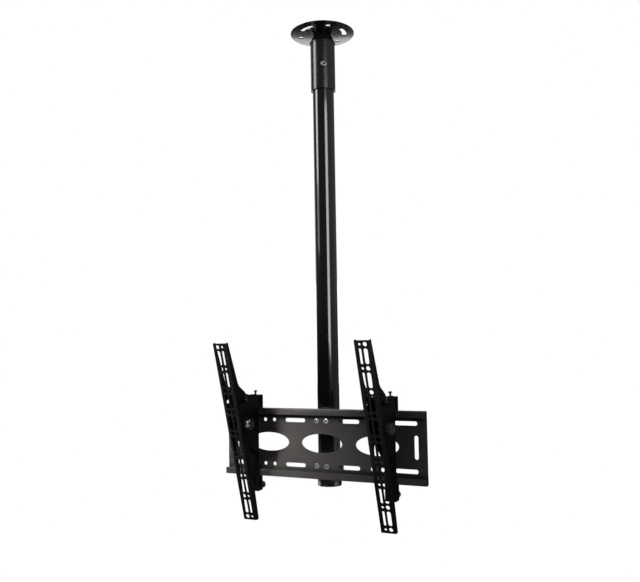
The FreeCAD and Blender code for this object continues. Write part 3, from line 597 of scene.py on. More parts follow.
def turned(
    profile: Sequence[tuple[float, float]],
    rounds: Optional[dict[int, tuple[float, int]]] = None,
    segments: int = TURN_SEGMENTS,
) -> bmesh.types.BMesh:
    """Spins a profile about Z and rounds some of its corners.

    Args:
        profile: Radii and heights from one end to the other.
        rounds: For a profile point, the size of its rounding and the number of its steps.
        segments: The steps of the full turn.

    Returns:
        The turned shape.
    """
    shape = bmesh.new()
    points = [shape.verts.new((radius, 0.0, height)) for radius, height in profile]
    edges = [shape.edges.new(pair) for pair in zip(points, points[1:])]
    bmesh.ops.spin(
        shape, geom=points + edges, cent=(0, 0, 0), axis=UP, dvec=(0, 0, 0),
        angle=math.tau, steps=segments, use_merge=True, use_normal_flip=False, use_duplicate=False,
    )
    bmesh.ops.remove_doubles(shape, verts=shape.verts[:], dist=WELD_DISTANCE)
    for index, (size, steps) in (rounds or {}).items():
        radius, height = profile[index]
        ring = [edge for edge in shape.edges if all(on_ring(v, radius, height) for v in edge.verts)]
        bmesh.ops.bevel(
            shape, geom=ring, offset=size, offset_type="OFFSET", segments=steps, profile=0.5,
            affect="EDGES", clamp_overlap=True, material=-1,
        )
    return shape


def open_ring(shape: bmesh.types.BMesh, height: float) -> list[bmesh.types.BMEdge]:
    """The open edges of a shape at a height."""
    return [
        edge for edge in shape.edges
        if edge.is_boundary and all(abs(v.co.z - height) < NEAR for v in edge.verts)
    ]


def hex_ring(shape: bmesh.types.BMesh, corner: float, height: float) -> list[bmesh.types.BMEdge]:
    """Adds a hexagon of edges with as many points as a turned ring has.

    Args:
        shape: The mesh it goes into.
        corner: The distance of its corners from the axis.
        height: Where it lies.

    Returns:
        Its edges.
    """
    made = bmesh.ops.create_circle(
        shape, cap_ends=False, radius=corner, segments=6, matrix=Matrix.Translation((0, 0, height)),
    )
    edges = list({edge for vert in made["verts"] for edge in vert.link_edges})
    split = bmesh.ops.subdivide_edges(shape, edges=edges, cuts=TURN_SEGMENTS // 6 - 1)
    pieces = [item for item in split["geom_inner"] if isinstance(item, bmesh.types.BMVert)]
    return list({edge for vert in pieces for edge in vert.link_edges})


def next_ring(
    shape: bmesh.types.BMesh,
    ring: Sequence[bmesh.types.BMEdge],
) -> tuple[list[bmesh.types.BMVert], list[bmesh.types.BMEdge]]:
    """Extrudes a ring of edges, and leaves the new ring where the old one is.

    Args:
        shape: The mesh.
        ring: The edges of the old ring.

    Returns:
        The vertices and the edges of the new ring.
    """
    made = bmesh.ops.extrude_edge_only(shape, edges=ring)["geom"]
    verts = [item for item in made if isinstance(item, bmesh.types.BMVert)]
    fresh = set(verts)
    edges = [item for item in made if isinstance(item, bmesh.types.BMEdge) and fresh.issuperset(item.verts)]
    return verts, edges


def sink_socket(shape: bmesh.types.BMesh, height: float, corner: float, depth: float) -> None:
    """Closes a turned opening with a hexagon socket.

    Args:
        shape: A turned shape that is open at the top.
        height: The height of the opening.
        corner: The distance of the socket's corners from the axis.
        depth: How far the socket goes in.
    """
    rim = open_ring(shape, height)
    mouth_height = height - SOCKET_LEAD * depth
    mouth = hex_ring(shape, corner, mouth_height)
    bmesh.ops.bridge_loops(shape, edges=rim + mouth)
    floor_verts, floor = next_ring(shape, mouth)
    bmesh.ops.translate(shape, verts=floor_verts, vec=(0, 0, -depth))
    tip_verts, _ = next_ring(shape, floor)
    tip = (0, 0, mouth_height - depth - SOCKET_POINT * corner)
    bmesh.ops.pointmerge(shape, verts=tip_verts, merge_co=tip)


def screw_thread(radius: float, core: float, low: float, high: float, pitch: float) -> bmesh.types.BMesh:
    """A helical thread ridge, to stand on a shank.

    Args:
        radius: The crest's radius.
        core: The radius inside the shank where the ridge starts.
        low: The lowest height.
        high: The highest height.
        pitch: The rise of one turn.

    Returns:
        The ridge.
    """
    shape = bmesh.new()
    half = THREAD_HALF_WIDTH * pitch
    section = ((core, 0, low), (radius, 0, low + half), (core, 0, low + 2 * half))
    face = shape.faces.new([shape.verts.new(spot) for spot in section])
    turns = max(1.0, (high - low - 2 * half) / pitch)
    steps = int(turns * THREAD_STEPS)
    bmesh.ops.spin(
        shape, geom=[face, *face.edges, *face.verts], cent=(0, 0, 0), axis=UP,
        dvec=(0, 0, pitch / THREAD_STEPS), angle=math.tau * steps / THREAD_STEPS, steps=steps,
        use_merge=False, use_normal_flip=False, use_duplicate=False,
    )
    return shape


def merged(*shapes: bmesh.types.BMesh) -> bmesh.types.BMesh:
    """Puts several closed shapes into the first one.

    Args:
        shapes: The shapes; all but the first are used up.

    Returns:
        The first shape, with the others in it.
    """
    whole = shapes[0]
    for extra in shapes[1:]:
        mesh = bpy.data.meshes.new("part")
        extra.to_mesh(mesh)
        extra.free()
        whole.from_mesh(mesh)
        bpy.data.meshes.remove(mesh)
    return whole


class Fastener:
    """A small piece that is built up Z and then stood on its place."""

    def shape(self) -> bmesh.types.BMesh:
        """Builds the piece up Z."""
        raise NotImplementedError

    def placed(self, at: Point, axis: Point, spin: float = 0.0) -> bmesh.types.BMesh:
        """Builds the piece on its place.

        Args:
            at: Where its origin goes.
            axis: Where its Z axis points.
            spin: A turn about its own axis first, in radians.

        Returns:
            The piece's mesh.
        """
        shape = self.shape()
        bmesh.ops.transform(shape, matrix=seat(at, axis, spin), verts=shape.verts[:])
        return shape


@dataclass(frozen=True)
class SocketScrew(Fastener):
    """A screw with a rounded head and a hexagon socket, standing on the underside of its head."""

    head_radius: float
    head_height: float
    socket_corner: float
    shank_radius: float
    shank_length: float
    pitch: float
    crown: float = 0.6
    mouth: float = 1.12
    socket_depth: float = 0.55
    plain_turns: float = 2.0
    run_out_turns: float = 0.4
    tip_turns: float = 0.6

    def shape(self) -> bmesh.types.BMesh:
        """Builds the screw with its head up Z.

        Returns:
            Head, socket, shank and thread in one mesh.
        """
        top, low, pitch = self.head_height, -self.shank_length, self.pitch
        core = self.shank_radius - THREAD_DEPTH * pitch
        profile = [
            (self.mouth * self.socket_corner, top),
            (0.99 * self.head_radius, top),
            (self.head_radius, 0.0),
            (self.shank_radius, 0.0),
            (self.shank_radius, -self.plain_turns * pitch),
            (core, -(self.plain_turns + self.run_out_turns) * pitch),
            (core, low + self.tip_turns * pitch),
            (core - self.tip_turns * pitch, low),
            (0.0, low),
        ]
        shape = turned(profile, {1: (self.crown * top, 6), 2: (0.08 * top, 2)})
        sink_socket(shape, top, self.socket_corner, self.socket_depth * top)
        # The ridge is rooted inside the core, and its upper end runs into the plain shank
        ridge = screw_thread(
            self.shank_radius, core - 0.1 * pitch, low + 0.5 * self.tip_turns * pitch,
            (0.1 - self.plain_turns) * pitch, pitch,
        )
        return merged(shape, ridge)


@dataclass(frozen=True)
class SetScrew(Fastener):
    """A headless screw with a socket in its end, standing on its point."""

    radius: float
    length: float
    socket_corner: float
    mouth: float = 1.15
    edge: float = 0.18

    def shape(self) -> bmesh.types.BMesh:
        """Builds the screw with its socket up Z.

        Returns:
            The screw's mesh.
        """
        edge = self.edge * self.radius
        profile = [
            (self.mouth * self.socket_corner, self.length),
            (self.radius, self.length),
            (self.radius, 0.0),
            (0.0, 0.0),
        ]
        shape = turned(profile, {1: (edge, 3), 2: (edge, 2)})
        sink_socket(shape, self.length, self.socket_corner, min(0.5 * self.length, 1.4 * self.radius))
        return shape


@dataclass(frozen=True)
class HexBlank(Fastener):
    """A hexagon nut or bolt head with chamfered corners, standing on its inner face."""

    corner: float
    height: float
    bore: float = 0.0
    bore_chamfer: float = 0.1
    corner_chamfer: float = math.radians(30)

    def shape(self) -> bmesh.types.BMesh:
        """Builds the hexagon up Z, with both ends chamfered.

        Returns:
            A closed nut, or a closed head where there is no bore.
        """
        shape = bmesh.new()
        rings = [hex_ring(shape, self.corner, 0.0)]
        for _ in range(3):
            rings.append(next_ring(shape, rings[-1])[1])
        inner, inner_corners, outer_corners, outer = rings
        self.chamfer(inner, inner_corners, 0.0, 1)
        self.chamfer(outer, outer_corners, self.height, -1)
        if not self.bore:
            bmesh.ops.edgeloop_fill(shape, edges=inner)
            bmesh.ops.edgeloop_fill(shape, edges=outer)
            return shape
        mouths = []
        for ring, inward in ((inner, 1), (outer, -1)):
            lip_verts, lip = next_ring(shape, ring)
            for vert in lip_verts:
                vert.co.xy = vert.co.xy.normalized() * (self.bore * (1 + self.bore_chamfer))
            throat_verts, throat = next_ring(shape, lip)
            for vert in throat_verts:
                vert.co.xy = vert.co.xy.normalized() * self.bore
                vert.co.z += inward * self.bore_chamfer * self.bore
            mouths += throat
        bmesh.ops.bridge_loops(shape, edges=mouths)
        return shape

    def chamfer(
        self,
        end: Sequence[bmesh.types.BMEdge],
        corners: Sequence[bmesh.types.BMEdge],
        height: float,
        inward: int,
    ) -> None:
        """Draws one end in to a circle, and slopes the corners down to it.

        Args:
            end: The ring of the end face.
            corners: The ring where the flats begin.
            height: The height of the end face.
            inward: The sign of the way from this end into the piece.
        """
        flat = self.corner * math.cos(math.pi / 6)
        for vert in {v for edge in end for v in edge.verts}:
            vert.co.xy = vert.co.xy * (flat / vert.co.xy.length)
            vert.co.z = height
        for vert in {v for edge in corners for v in edge.verts}:
            past_flat = max(0.0, vert.co.xy.length - flat)
            vert.co.z = height + inward * past_flat * math.tan(self.corner_chamfer)


@dataclass(frozen=True)
class HexBolt(Fastener):
    """A bolt with a hexagon head and a plain shank, standing on the underside of its head."""

    head: HexBlank
    shank_radius: float
    shank_length: float
    tip_narrowing: float
    tip_length: float
    root: float

    def shape(self) -> bmesh.types.BMesh:
        """Builds the bolt with its head up Z.

        Returns:
            The head, and the shank with its root inside the head.
        """
        low = -self.shank_length
        shank = turned([
            (0.0, low),
            (self.shank_radius - self.tip_narrowing, low),
            (self.shank_radius, low + self.tip_length),
            (self.shank_radius, self.root),
            (0.0, self.root),
        ])
        return merged(self.head.shape(), shank)


@dataclass(frozen=True)
class HandKnob(Fastener):
    """A moulded knob with flutes for the fingers, standing on its inner end, with a bore or a screw in it."""

    radius: float
    thick: float
    flutes: int
    flute_radius: float
    flute_out: float
    bore: float = 0.0
    bore_depth: float = 0.0
    screw: float = 0.0
    screw_length: float = 0.0
    columns: int = 16
    dish: float = 0.62
    dish_depth: float = 0.12
    grip: float = 0.75

    def shape(self) -> bmesh.types.BMesh:
        """Builds the knob up Z.

        Returns:
            The grip with its dished end, flutes and bore, or its screw.
        """
        inside = self.inside()
        dish = self.dish * self.radius
        floor = self.thick - self.dish_depth * self.radius
        low = len(inside)
        profile = inside + [
            (self.radius, 0.0),
            (self.radius, self.thick),
            (dish, self.thick),
            (0.9 * dish, floor),
            (0.0, floor),
        ]
        rounds = {
            low: (0.05 * self.radius, 2),
            low + 1: (0.12 * self.radius, 4),
            low + 2: (0.03 * self.radius, 2),
        }
        shape = turned(profile, rounds, self.flutes * self.columns)
        self.cut_flutes(shape)
        if self.screw:
            pitch = self.screw / 3
            bottom = 0.3 * pitch - self.screw_length
            ridge = screw_thread(self.screw, 0.8 * self.screw, bottom, -0.5 * pitch, pitch)
            shape = merged(shape, ridge)
        return shape

    def inside(self) -> list[tuple[float, float]]:
        """The start of the profile: the bore, or the screw's core with its pointed tip.

        Returns:
            Radii and heights from the axis to the knob's inner end.
        """
        if self.bore:
            return [(0.0, self.bore_depth), (self.bore, self.bore_depth), (self.bore, 0.0)]
        tip = -self.screw_length
        core = 0.85 * self.screw
        return [(0.0, tip), (0.75 * self.screw, tip), (core, tip + 0.2 * self.screw), (core, 0.0)]

    def cut_flutes(self, shape: bmesh.types.BMesh) -> None:
        """Draws in the columns of the grip that lie in a flute, each to the flute's round wall.

        Args:
            shape: The turned knob.
        """
        step = math.tau / (self.flutes * self.columns)
        grip = [vert for vert in shape.verts if vert.co.xy.length > self.grip * self.radius]
        for column in range(-self.columns // 2, self.columns // 2):
            angle = column * step
            across = self.flute_out * math.sin(angle)
            if abs(across) >= self.flute_radius:
                continue
            wall = self.flute_out * math.cos(angle) - math.sqrt(self.flute_radius ** 2 - across ** 2)
            if wall >= self.radius:
                continue
            chosen = [
                vert for vert in grip
                if (round(math.atan2(vert.co.y, vert.co.x) / step) - column) % self.columns == 0
            ]
            share = wall / self.radius
            bmesh.ops.scale(shape, vec=(share, share, 1.0), verts=chosen)


# Putting pieces into the frame


def finish_mesh(shape: bmesh.types.BMesh, name: str) -> bpy.types.Object:
    """Turns a shape into an object at the origin, smooth but for its sharp edges.

    Args:
        shape: The finished shape, which is used up.
        name: The object's name.

    Returns:
        The object.
    """
    bmesh.ops.recalc_face_normals(shape, faces=shape.faces[:])
    for face in shape.faces:
        face.smooth = True
    for edge in shape.edges:
        edge.smooth = len(edge.link_faces) == 2 and edge.calc_face_angle() < SHARP_ANGLE
    mesh = bpy.data.meshes.new(name)
    shape.to_mesh(mesh)
    shape.free()
    item = bpy.data.objects.new(name, mesh)
    bpy.context.scene.collection.objects.link(item)
    return item


def stand_in(node: str, body: str, finish: Finish, *shapes: bmesh.types.BMesh) -> None:
    """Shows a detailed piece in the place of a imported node.

    Args:
        node: The node that the piece stands for.
        body: The body that it rides on.
        finish: Its finish.
        shapes: The piece's shapes, in place.
    """
    piece = finish_mesh(merged(*shapes), node + "_detailed")
    piece.data.materials.append(material_of(finish))
    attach(piece, body)
    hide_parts(node)
    log.info("%s stands for %s: %d faces", piece.name, node, len(piece.data.polygons))


def dress(nodes: Iterable[str], finish: Finish, edge: float = 0.0) -> None:
    """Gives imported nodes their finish, and breaks their sharp edges.

    Args:
        nodes: The names of the nodes.
        finish: Their finish.
        edge: The width of the broken edge, or 0 to leave the edges as they are.
    """
    material = material_of(finish)
    for name in nodes:
        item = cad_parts[name]
        if item.material_slots:
            for place in item.material_slots:
                place.material = material
        else:
            item.data.materials.append(material)
        if edge:
            weld = item.modifiers.new("weld", "WELD")
            weld.merge_threshold = WELD_DISTANCE
            bevel = item.modifiers.new("broken_edges", "BEVEL")
            bevel.width = edge
            bevel.segments = 2
            bevel.limit_method = "ANGLE"
            bevel.angle_limit = BROKEN_EDGE_ANGLE
            bevel.harden_normals = True
            bevel.use_clamp_overlap = True
        log.info("%s is dressed in %s", name, finish.label)


# Sub-assemblies


@dataclass
class CeilingEnd:
    """The round plate, its neck, and the collar with the bolt and set screws that hold the pole."""

    body: str = "pole"
    collar_radius: float = 28.9 * MM
    collar_gap: float = 0.1 * MM
    pole_radius: float = 25.05 * MM
    bolt_height: float = -84.0 * MM
    bolt_turn: float = math.radians(30)
    set_screw_heights: tuple[float, ...] = (-84.0 * MM, -129.0 * MM)
    set_screw_turn: float = math.radians(60)
    set_screw_spin: float = 0.3
    bolt: SocketScrew = SocketScrew(
        head_radius=7.5 * MM, head_height=4.6 * MM, socket_corner=2.9 * MM, shank_radius=4.0 * MM,
        shank_length=64.2 * MM, pitch=1.25 * MM,
    )
    nut: HexBlank = HexBlank(corner=7.5 * MM, height=6.5 * MM, bore=4.02 * MM)
    set_screw: SetScrew = SetScrew(radius=3.0 * MM, length=4.2 * MM, socket_corner=1.75 * MM)

    def outward(self, turn: float) -> Vector:
        """The level direction at a turn from the front towards +X."""
        return Vector((math.sin(turn), -math.cos(turn), 0.0))

    def build(self) -> None:
        """Makes the bolt, its nut and the set screws."""
        front = self.outward(self.bolt_turn)
        lift = Vector((0, 0, self.bolt_height))
        out = self.collar_radius + self.collar_gap
        stand_in("safety_bolt", self.body, Finish.ZINC, self.bolt.placed(lift + front * out, front))
        stand_in("safety_nut", self.body, Finish.ZINC, self.nut.placed(lift - front * out, -front))
        screws = []
        for height in self.set_screw_heights:
            for sign in (-1, 1):
                facing = self.outward(self.bolt_turn + sign * self.set_screw_turn)
                spot = facing * self.pole_radius + Vector((0, 0, height))
                screws.append(self.set_screw.placed(spot, facing, sign * self.set_screw_spin))
        stand_in("collar_set_screws", self.body, Finish.OXIDE, *screws)

    def dress(self) -> None:
        """Finishes the plate, the neck and the collar."""
        dress(("ceiling_plate",), Finish.DISC_COAT)
        dress(("ceiling_neck", "ceiling_collar"), Finish.COLLAR_COAT)


@dataclass
class DropPole:
    """The pole and the plastic cap on its foot."""

    body: str = "pole"
    cap_radius: float = 27.05 * MM
    cap_inside: float = 25.05 * MM
    cap_low: float = -1052.0 * MM
    cap_high: float = -1035.0 * MM
    cap_floor: float = 3.0 * MM
    cap_segments: int = 96
    rim: float = 0.84
    dish: float = 0.80
    dish_depth: float = 0.8 * MM
    gate_mouth: float = 2.2 * MM
    gate_radius: float = 1.8 * MM
    gate_level: float = 0.4

    def build(self) -> None:
        """Turns the end cap with its rounded rim, dished foot and gate mark."""
        low, high = self.cap_low, self.cap_high
        inner = low + self.cap_floor
        foot = low + self.dish_depth
        gate = low + self.gate_level * self.dish_depth
        profile = [
            (0.0, inner),
            (self.cap_inside, inner),
            (self.cap_inside, high),
            (self.cap_radius, high),
            (self.cap_radius, low),
            (self.rim * self.cap_radius, low),
            (self.dish * self.cap_radius, foot),
            (self.gate_mouth, foot),
            (self.gate_radius, gate),
            (0.0, gate),
        ]
        rounds = {3: (0.7 * MM, 3), 4: (1.7 * MM, 5), 5: (0.3 * MM, 2)}
        stand_in("pole_end_cap", self.body, Finish.CAP, turned(profile, rounds, self.cap_segments))

    def dress(self) -> None:
        """Finishes the pole."""
        dress(("pole",), Finish.POLE_COAT)


@dataclass
class PoleBracket:
    """The support ring, the two collars on the pole and the folded screen plate."""

    ring_body: str = "support_ring"
    body: str = "bracket"
    pole_radius: float = 25.05 * MM
    plate_front: float = -38.5 * MM
    screw_spread: float = 12.0 * MM
    screw_heights: tuple[float, float] = (-905.0 * MM, -1005.0 * MM)
    screw_spin: float = 0.35
    row_spin: float = 0.5
    collar_screw_spin: float = 0.2
    ring_screw_height: float = -1022.55 * MM
    ring_screw_spin: float = 0.7
    cast_edge: float = 0.6 * MM
    sheet_edge: float = 0.35 * MM
    plate_screw: SocketScrew = SocketScrew(
        head_radius=5.6 * MM, head_height=3.2 * MM, socket_corner=2.3 * MM, shank_radius=3.0 * MM,
        shank_length=14.4 * MM, pitch=1.0 * MM,
    )
    collar_screw: SetScrew = SetScrew(radius=3.0 * MM, length=7.4 * MM, socket_corner=1.75 * MM)
    ring_screw: SetScrew = SetScrew(radius=3.0 * MM, length=8.4 * MM, socket_corner=1.75 * MM)

    def build(self) -> None:
        """Makes the plate screws and the set screws."""
        screws = []
        for row, height in enumerate(self.screw_heights):
            for sign in (-1, 1):
                spot = (sign * self.screw_spread, self.plate_front, height)
                spin = sign * self.screw_spin + row * self.row_spin
                screws.append(self.plate_screw.placed(spot, FRONT, spin))
        stand_in("plate_screws", self.body, Finish.LIT_OXIDE, *screws)
        rear = [
            self.collar_screw.placed((0, self.pole_radius, height), REAR, self.collar_screw_spin)
            for height in self.screw_heights
        ]
        stand_in("pole_collar_set_screws", self.body, Finish.OXIDE, *rear)
        spot = (0, self.pole_radius, self.ring_screw_height)
        clamp = self.ring_screw.placed(spot, REAR, self.ring_screw_spin)
        stand_in("support_ring_screw", self.ring_body, Finish.OXIDE, clamp)

    def dress(self) -> None:
        """Finishes the ring, the collars and the plate."""
        dress(("support_ring", "upper_pole_collar", "lower_pole_collar"), Finish.SHADED_ARM_COAT, self.cast_edge)
        dress(("screen_plate",), Finish.LIT_PLATE_COAT, self.sheet_edge)


@dataclass
class TiltArm:
    """One hanger with its tilting arm, bolts, knobs, lock and levelling screw."""

    side: Side
    reach: float = 168.0 * MM
    half: float = 17.6 * MM
    pivot: tuple[float, float] = (-112.0 * MM, -910.0 * MM)
    pivot_spin: float = 0.1
    guide: tuple[float, float] = (-118.8247 * MM, -854.4174 * MM)
    guide_bolt_spin: float = 0.4
    guide_nut_spin: float = 0.2
    lock: tuple[float, float] = (-32.95 * MM, -1058.0 * MM)
    level: tuple[float, float] = (-43.25 * MM, -841.0 * MM)
    sheet_edge: float = 0.35 * MM
    washer_edge: float = 0.3 * MM
    pivot_bolt: HexBolt = HexBolt(
        head=HexBlank(corner=9.0 * MM, height=6.0 * MM), shank_radius=5.0 * MM, shank_length=45.2 * MM,
        tip_narrowing=0.6 * MM, tip_length=0.8 * MM, root=1.0 * MM,
    )
    guide_nut: HexBlank = HexBlank(corner=7.0 * MM, height=5.0 * MM, bore=4.02 * MM)
    guide_bolt: SocketScrew = SocketScrew(
        head_radius=7.0 * MM, head_height=5.0 * MM, socket_corner=2.9 * MM, shank_radius=4.0 * MM,
        shank_length=40.2 * MM, pitch=1.25 * MM,
    )
    levelling_screw: SocketScrew = SocketScrew(
        head_radius=4.3 * MM, head_height=3.4 * MM, socket_corner=1.75 * MM, shank_radius=2.5 * MM,
        shank_length=37.0 * MM, pitch=0.8 * MM, crown=0.45,
    )
    tilt_knob: HandKnob = HandKnob(
        radius=13.0 * MM, thick=14.0 * MM, flutes=8, flute_radius=3.2 * MM, flute_out=14.12 * MM,
        bore=5.05 * MM, bore_depth=10.5 * MM, columns=18,
    )
    lock_knob: HandKnob = HandKnob(
        radius=8.0 * MM, thick=20.0 * MM, flutes=10, flute_radius=1.6 * MM, flute_out=8.56 * MM,
        screw=3.0 * MM, screw_length=27.05 * MM, columns=12,
    )

    def node(self, word: str) -> str:
        """The full name of one of this side's nodes or bodies."""
        return "%s_%s" % (self.side.word, word)

    def show(self, word: str, body: str, finish: Finish, shape: bmesh.types.BMesh) -> None:
        """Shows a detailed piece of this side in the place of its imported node."""
        stand_in(self.node(word), self.node(body), finish, shape)

    def build(self) -> None:
        """Makes the bolts, the nut, the levelling screw and the knobs."""
        middle = self.side.sign * self.reach
        left, right = middle - self.half, middle + self.half
        guide_bolt = self.guide_bolt.placed((left, *self.guide), LEFTWARD, self.guide_bolt_spin)
        self.show("guide_bolt", "hanger", Finish.OXIDE, guide_bolt)
        guide_nut = self.guide_nut.placed((right, *self.guide), RIGHTWARD, self.guide_nut_spin)
        self.show("guide_nut", "hanger", Finish.OXIDE, guide_nut)
        pivot_bolt = self.pivot_bolt.placed((left, *self.pivot), LEFTWARD, self.pivot_spin)
        self.show("pivot_bolt", "hanger", Finish.OXIDE, pivot_bolt)
        levelling_screw = self.levelling_screw.placed((middle, *self.level), UP)
        self.show("levelling_screw", "levelling_screw", Finish.OXIDE, levelling_screw)
        tilt_knob = self.tilt_knob.placed((right, *self.pivot), RIGHTWARD)
        self.show("tilt_knob", "tilt_knob", Finish.KNOB, tilt_knob)
        lock_knob = self.lock_knob.placed((middle, *self.lock), REAR)
        self.show("lock_knob", "lock_knob", Finish.KNOB, lock_knob)

    def dress(self) -> None:
        """Finishes the folded pieces and the washers."""
        folded = [self.node(word) for word in ("hanger", "arm", "lock_clip")]
        dress(folded, Finish.SHADED_ARM_COAT, self.sheet_edge)
        dress((self.node("tilt_washers"),), Finish.WASHER, self.washer_edge)


# Stage


@dataclass(frozen=True)
class Softbox:
    """A rectangular lamp that looks at a point."""

    name: str
    at: tuple[float, float, float]
    aim: tuple[float, float, float]
    wide: float
    tall: float
    radiance: float
    colour: Colour = WHITE
    spread: float = 180.0

    def build(self) -> None:
        """Hangs the lamp."""
        lamp = bpy.data.lights.new(self.name, "AREA")
        lamp.shape = "RECTANGLE"
        lamp.size = self.wide
        lamp.size_y = self.tall
        lamp.energy = self.radiance * math.pi * self.wide * self.tall
        lamp.color = self.colour
        lamp.spread = math.radians(self.spread)
        item = bpy.data.objects.new(self.name, lamp)
        look = (Vector(self.aim) - Vector(self.at)).to_track_quat("-Z", "Y")
        item.matrix_world = Matrix.Translation(Vector(self.at)) @ look.to_matrix().to_4x4()
        bpy.context.scene.collection.objects.link(item)


@dataclass(frozen=True)
class Surround:
    """The world: white to the eye; in reflections pale behind the object and grey at its right."""

    view_turn: float
    backdrop_turn: float = 12.0
    backdrop_edge: tuple[float, float] = (0.74, 0.92)
    dim: float = 0.16
    horizon: tuple[float, float] = (-0.04, 0.10)
    flank_turn: float = 15.0
    flank_edge: tuple[float, float] = (0.62, 0.87)
    flank: float = 0.22
    ambient: float = 0.12

    def build(self) -> None:
        """Makes the world, with its own strength for the camera, for reflections and for other light."""
        world = bpy.data.worlds.new("surround")
        bpy.context.scene.world = world
        world.use_nodes = True
        world.node_tree.nodes.clear()
        nodes = NodeWiring(world.node_tree)
        rays = nodes.add("LightPath")
        mirrored = nodes.combine("MAXIMUM", rays["Is Glossy Ray"], rays["Is Transmission Ray"])
        unseen = nodes.layer(mirrored, self.glow(nodes, self.ambient), self.glow(nodes, self.mirrored(nodes)))
        whole = nodes.layer(rays["Is Camera Ray"], unseen, self.glow(nodes, 1.0))
        nodes.add("OutputWorld", {"Surface": whole})

    def mirrored(self, nodes: NodeWiring) -> Socket:
        """The strength that reflections see: the backdrop above the horizon, and the flank on the right.

        Args:
            nodes: The world's nodes.

        Returns:
            The strength in the direction of the ray.
        """
        ray = nodes.add("TexCoord")["Generated"]
        turn = math.radians(self.view_turn + self.backdrop_turn)
        behind = nodes.dot(ray, (-math.sin(turn), math.cos(turn), 0.0))
        backdrop = nodes.ease(behind, *self.backdrop_edge, self.dim, 1.0)
        above_horizon = nodes.ease(nodes.height_of(ray), *self.horizon)
        turn = math.radians(self.flank_turn)
        beside = nodes.dot(ray, (math.cos(turn), math.sin(turn), 0.0))
        flank = nodes.ease(beside, *self.flank_edge, 0.0, self.flank)
        return nodes.combine("ADD", nodes.combine("MULTIPLY", backdrop, above_horizon), flank)

    def glow(self, nodes: NodeWiring, strength: Input) -> Socket:
        """White light of a strength."""
        return nodes.add("Background", {"Color": opaque(WHITE), "Strength": strength})["Background"]


@dataclass(frozen=True)
class Floor:
    """A pale floor below the object, which keeps a soft shadow and fades out into the white."""

    height: float = -1.75
    middle: tuple[float, float] = (0.0, 0.35)
    radius: float = 1.3
    segments: int = 96
    colour: Colour = (0.9, 0.9, 0.9)
    dull: float = 0.8
    grain_scale: float = 300.0
    grain_strength: float = 0.1
    grain_depth: float = 0.2 * MM
    white_share: float = 0.8
    mirrored: float = 0.2
    fade: tuple[float, float] = (0.35, 0.98)

    def build(self) -> None:
        """Lays the floor."""
        shape = bmesh.new()
        bmesh.ops.create_circle(
            shape, cap_ends=True, radius=self.radius, segments=self.segments,
            matrix=Matrix.Translation((*self.middle, self.height)),
        )
        floor = finish_mesh(shape, "floor")
        floor.data.materials.append(self.material("pale_floor"))

    def material(self, name: str) -> bpy.types.Material:
        """Makes the floor's material, nearly white to the camera and dim in reflections.

        Args:
            name: The material's name.

        Returns:
            The material.
        """
        nodes = FinishWiring(name)
        nodes.shade(Base_Color=opaque(self.colour), Roughness=self.dull)
        grain = nodes.effect(EFFECTS.coat_peel, Scale=self.grain_scale)
        nodes.bump(grain["Height"], self.grain_strength, self.grain_depth)
        rays = nodes.add("LightPath")
        share = nodes.combine("MULTIPLY", rays["Is Camera Ray"], self.white_share)
        white = nodes.add("Emission", {"Strength": 1.0})["Emission"]
        lit = nodes.layer(share, nodes.shader.outputs["BSDF"], white)
        dim = nodes.add("Emission", {"Strength": self.mirrored})["Emission"]
        shown = nodes.layer(rays["Is Glossy Ray"], lit, dim)
        ends = {0: nodes.place(), 1: (*self.middle, self.height)}
        distance = nodes.add("VectorMath", ends, operation="DISTANCE")["Value"]
        start, end = (share * self.radius for share in self.fade)
        faded = nodes.layer(nodes.ease(distance, start, end), shown, nodes.add("BsdfTransparent")["BSDF"])
        nodes.feed(nodes.tree.nodes["Material Output"].inputs["Surface"], faded)
        return nodes.material


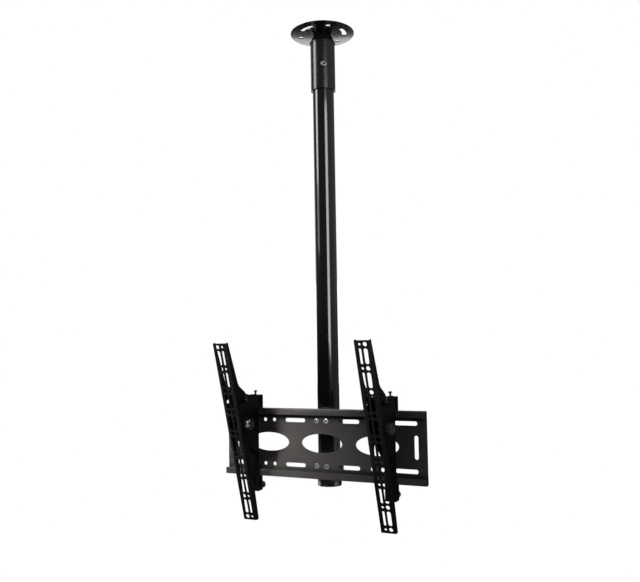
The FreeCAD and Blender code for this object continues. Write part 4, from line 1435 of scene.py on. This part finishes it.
@dataclass(frozen=True)
class PhotoCamera:
    """The camera of the photograph, with its turns in degrees and its shift in picture widths."""

    lens: float = 42.2
    sensor: float = 36.0
    at: tuple[float, float, float] = (0.7601, -1.5492, -0.7519)
    yaw: float = 26.70
    pitch: float = 4.58
    roll: float = -0.93
    shift: tuple[float, float] = (0.73 / 640, 0.94 / 640)
    clip: tuple[float, float] = (0.05, 60.0)

    def build(self) -> None:
        """Sets the camera up and makes it the scene's."""
        camera = bpy.data.cameras.new("photograph_view")
        camera.lens = self.lens
        camera.sensor_width = self.sensor
        camera.shift_x, camera.shift_y = self.shift
        camera.clip_start, camera.clip_end = self.clip
        item = bpy.data.objects.new("photograph_view", camera)
        item.matrix_world = (
            Matrix.Translation(Vector(self.at))
            @ Matrix.Rotation(math.radians(self.yaw), 4, "Z")
            @ Matrix.Rotation(math.radians(90.0 + self.pitch), 4, "X")
            @ Matrix.Rotation(math.radians(self.roll), 4, "Z")
        )
        bpy.context.scene.collection.objects.link(item)
        bpy.context.scene.camera = item


@dataclass(frozen=True)
class Stage:
    """The floor, the white surround, the lamps and the camera of the photograph."""

    camera: PhotoCamera = PhotoCamera()
    floor: Floor = Floor()
    lamps: tuple[Softbox, ...] = (
        Softbox("upper_left_panel", (-1.64, -1.15, 0.82), (0.0, 0.0, -0.5), 0.85, 1.5, 9.0),
        Softbox("left_tail", (-1.64, -1.15, -0.08), (0.0, 0.0, -0.6), 0.85, 0.35, 2.2),
        Softbox("right_panel", (1.87, -1.51, -0.08), (0.0, 0.0, -0.4), 1.15, 1.4, 8.0),
        Softbox(
            "plate_spot", (-0.62, -1.4, 0.1), (-0.16, -0.04, -0.95), 0.3, 0.3, 6.0,
            colour=(1.0, 0.94, 0.92), spread=14.0,
        ),
        Softbox("rear_panel", (-1.12, 2.22, -0.64), (0.0, 0.0, 0.0), 2.0, 0.6, 2.5),
        Softbox("overhead_panel", (0.0, -0.6, 2.2), (0.0, 0.0, -0.5), 2.0, 1.6, 0.6),
        Softbox("low_front_panel", (-0.5, -1.3, -1.62), (0.0, -0.2, -0.8), 0.9, 0.45, 1.7),
        Softbox("low_left_panel", (-2.6, 0.0, -1.56), (0.0, 0.0, -1.2), 1.9, 0.36, 5.0),
        Softbox("low_right_panel", (2.6, 0.0, -1.56), (0.0, 0.0, -1.2), 1.9, 0.36, 5.0),
    )

    def build(self) -> None:
        """Makes everything round the object, in the plain view transform."""
        bpy.context.scene.view_settings.view_transform = "Standard"
        Surround(self.camera.yaw).build()
        self.floor.build()
        for lamp in self.lamps:
            lamp.build()
        self.camera.build()


def main() -> None:
    """Builds the sub-assemblies and the stage in order."""
    logging.basicConfig(level=logging.INFO, format="%(name)s: %(message)s")
    assemblies = [CeilingEnd(), DropPole(), PoleBracket(), TiltArm(Side.LEFT), TiltArm(Side.RIGHT)]
    for assembly in assemblies:
        assembly.build()
        assembly.dress()
        log.info("%s is done", type(assembly).__name__)
    Stage().build()
    bpy.context.view_layer.update()


if __name__ == "__main__":
    main()
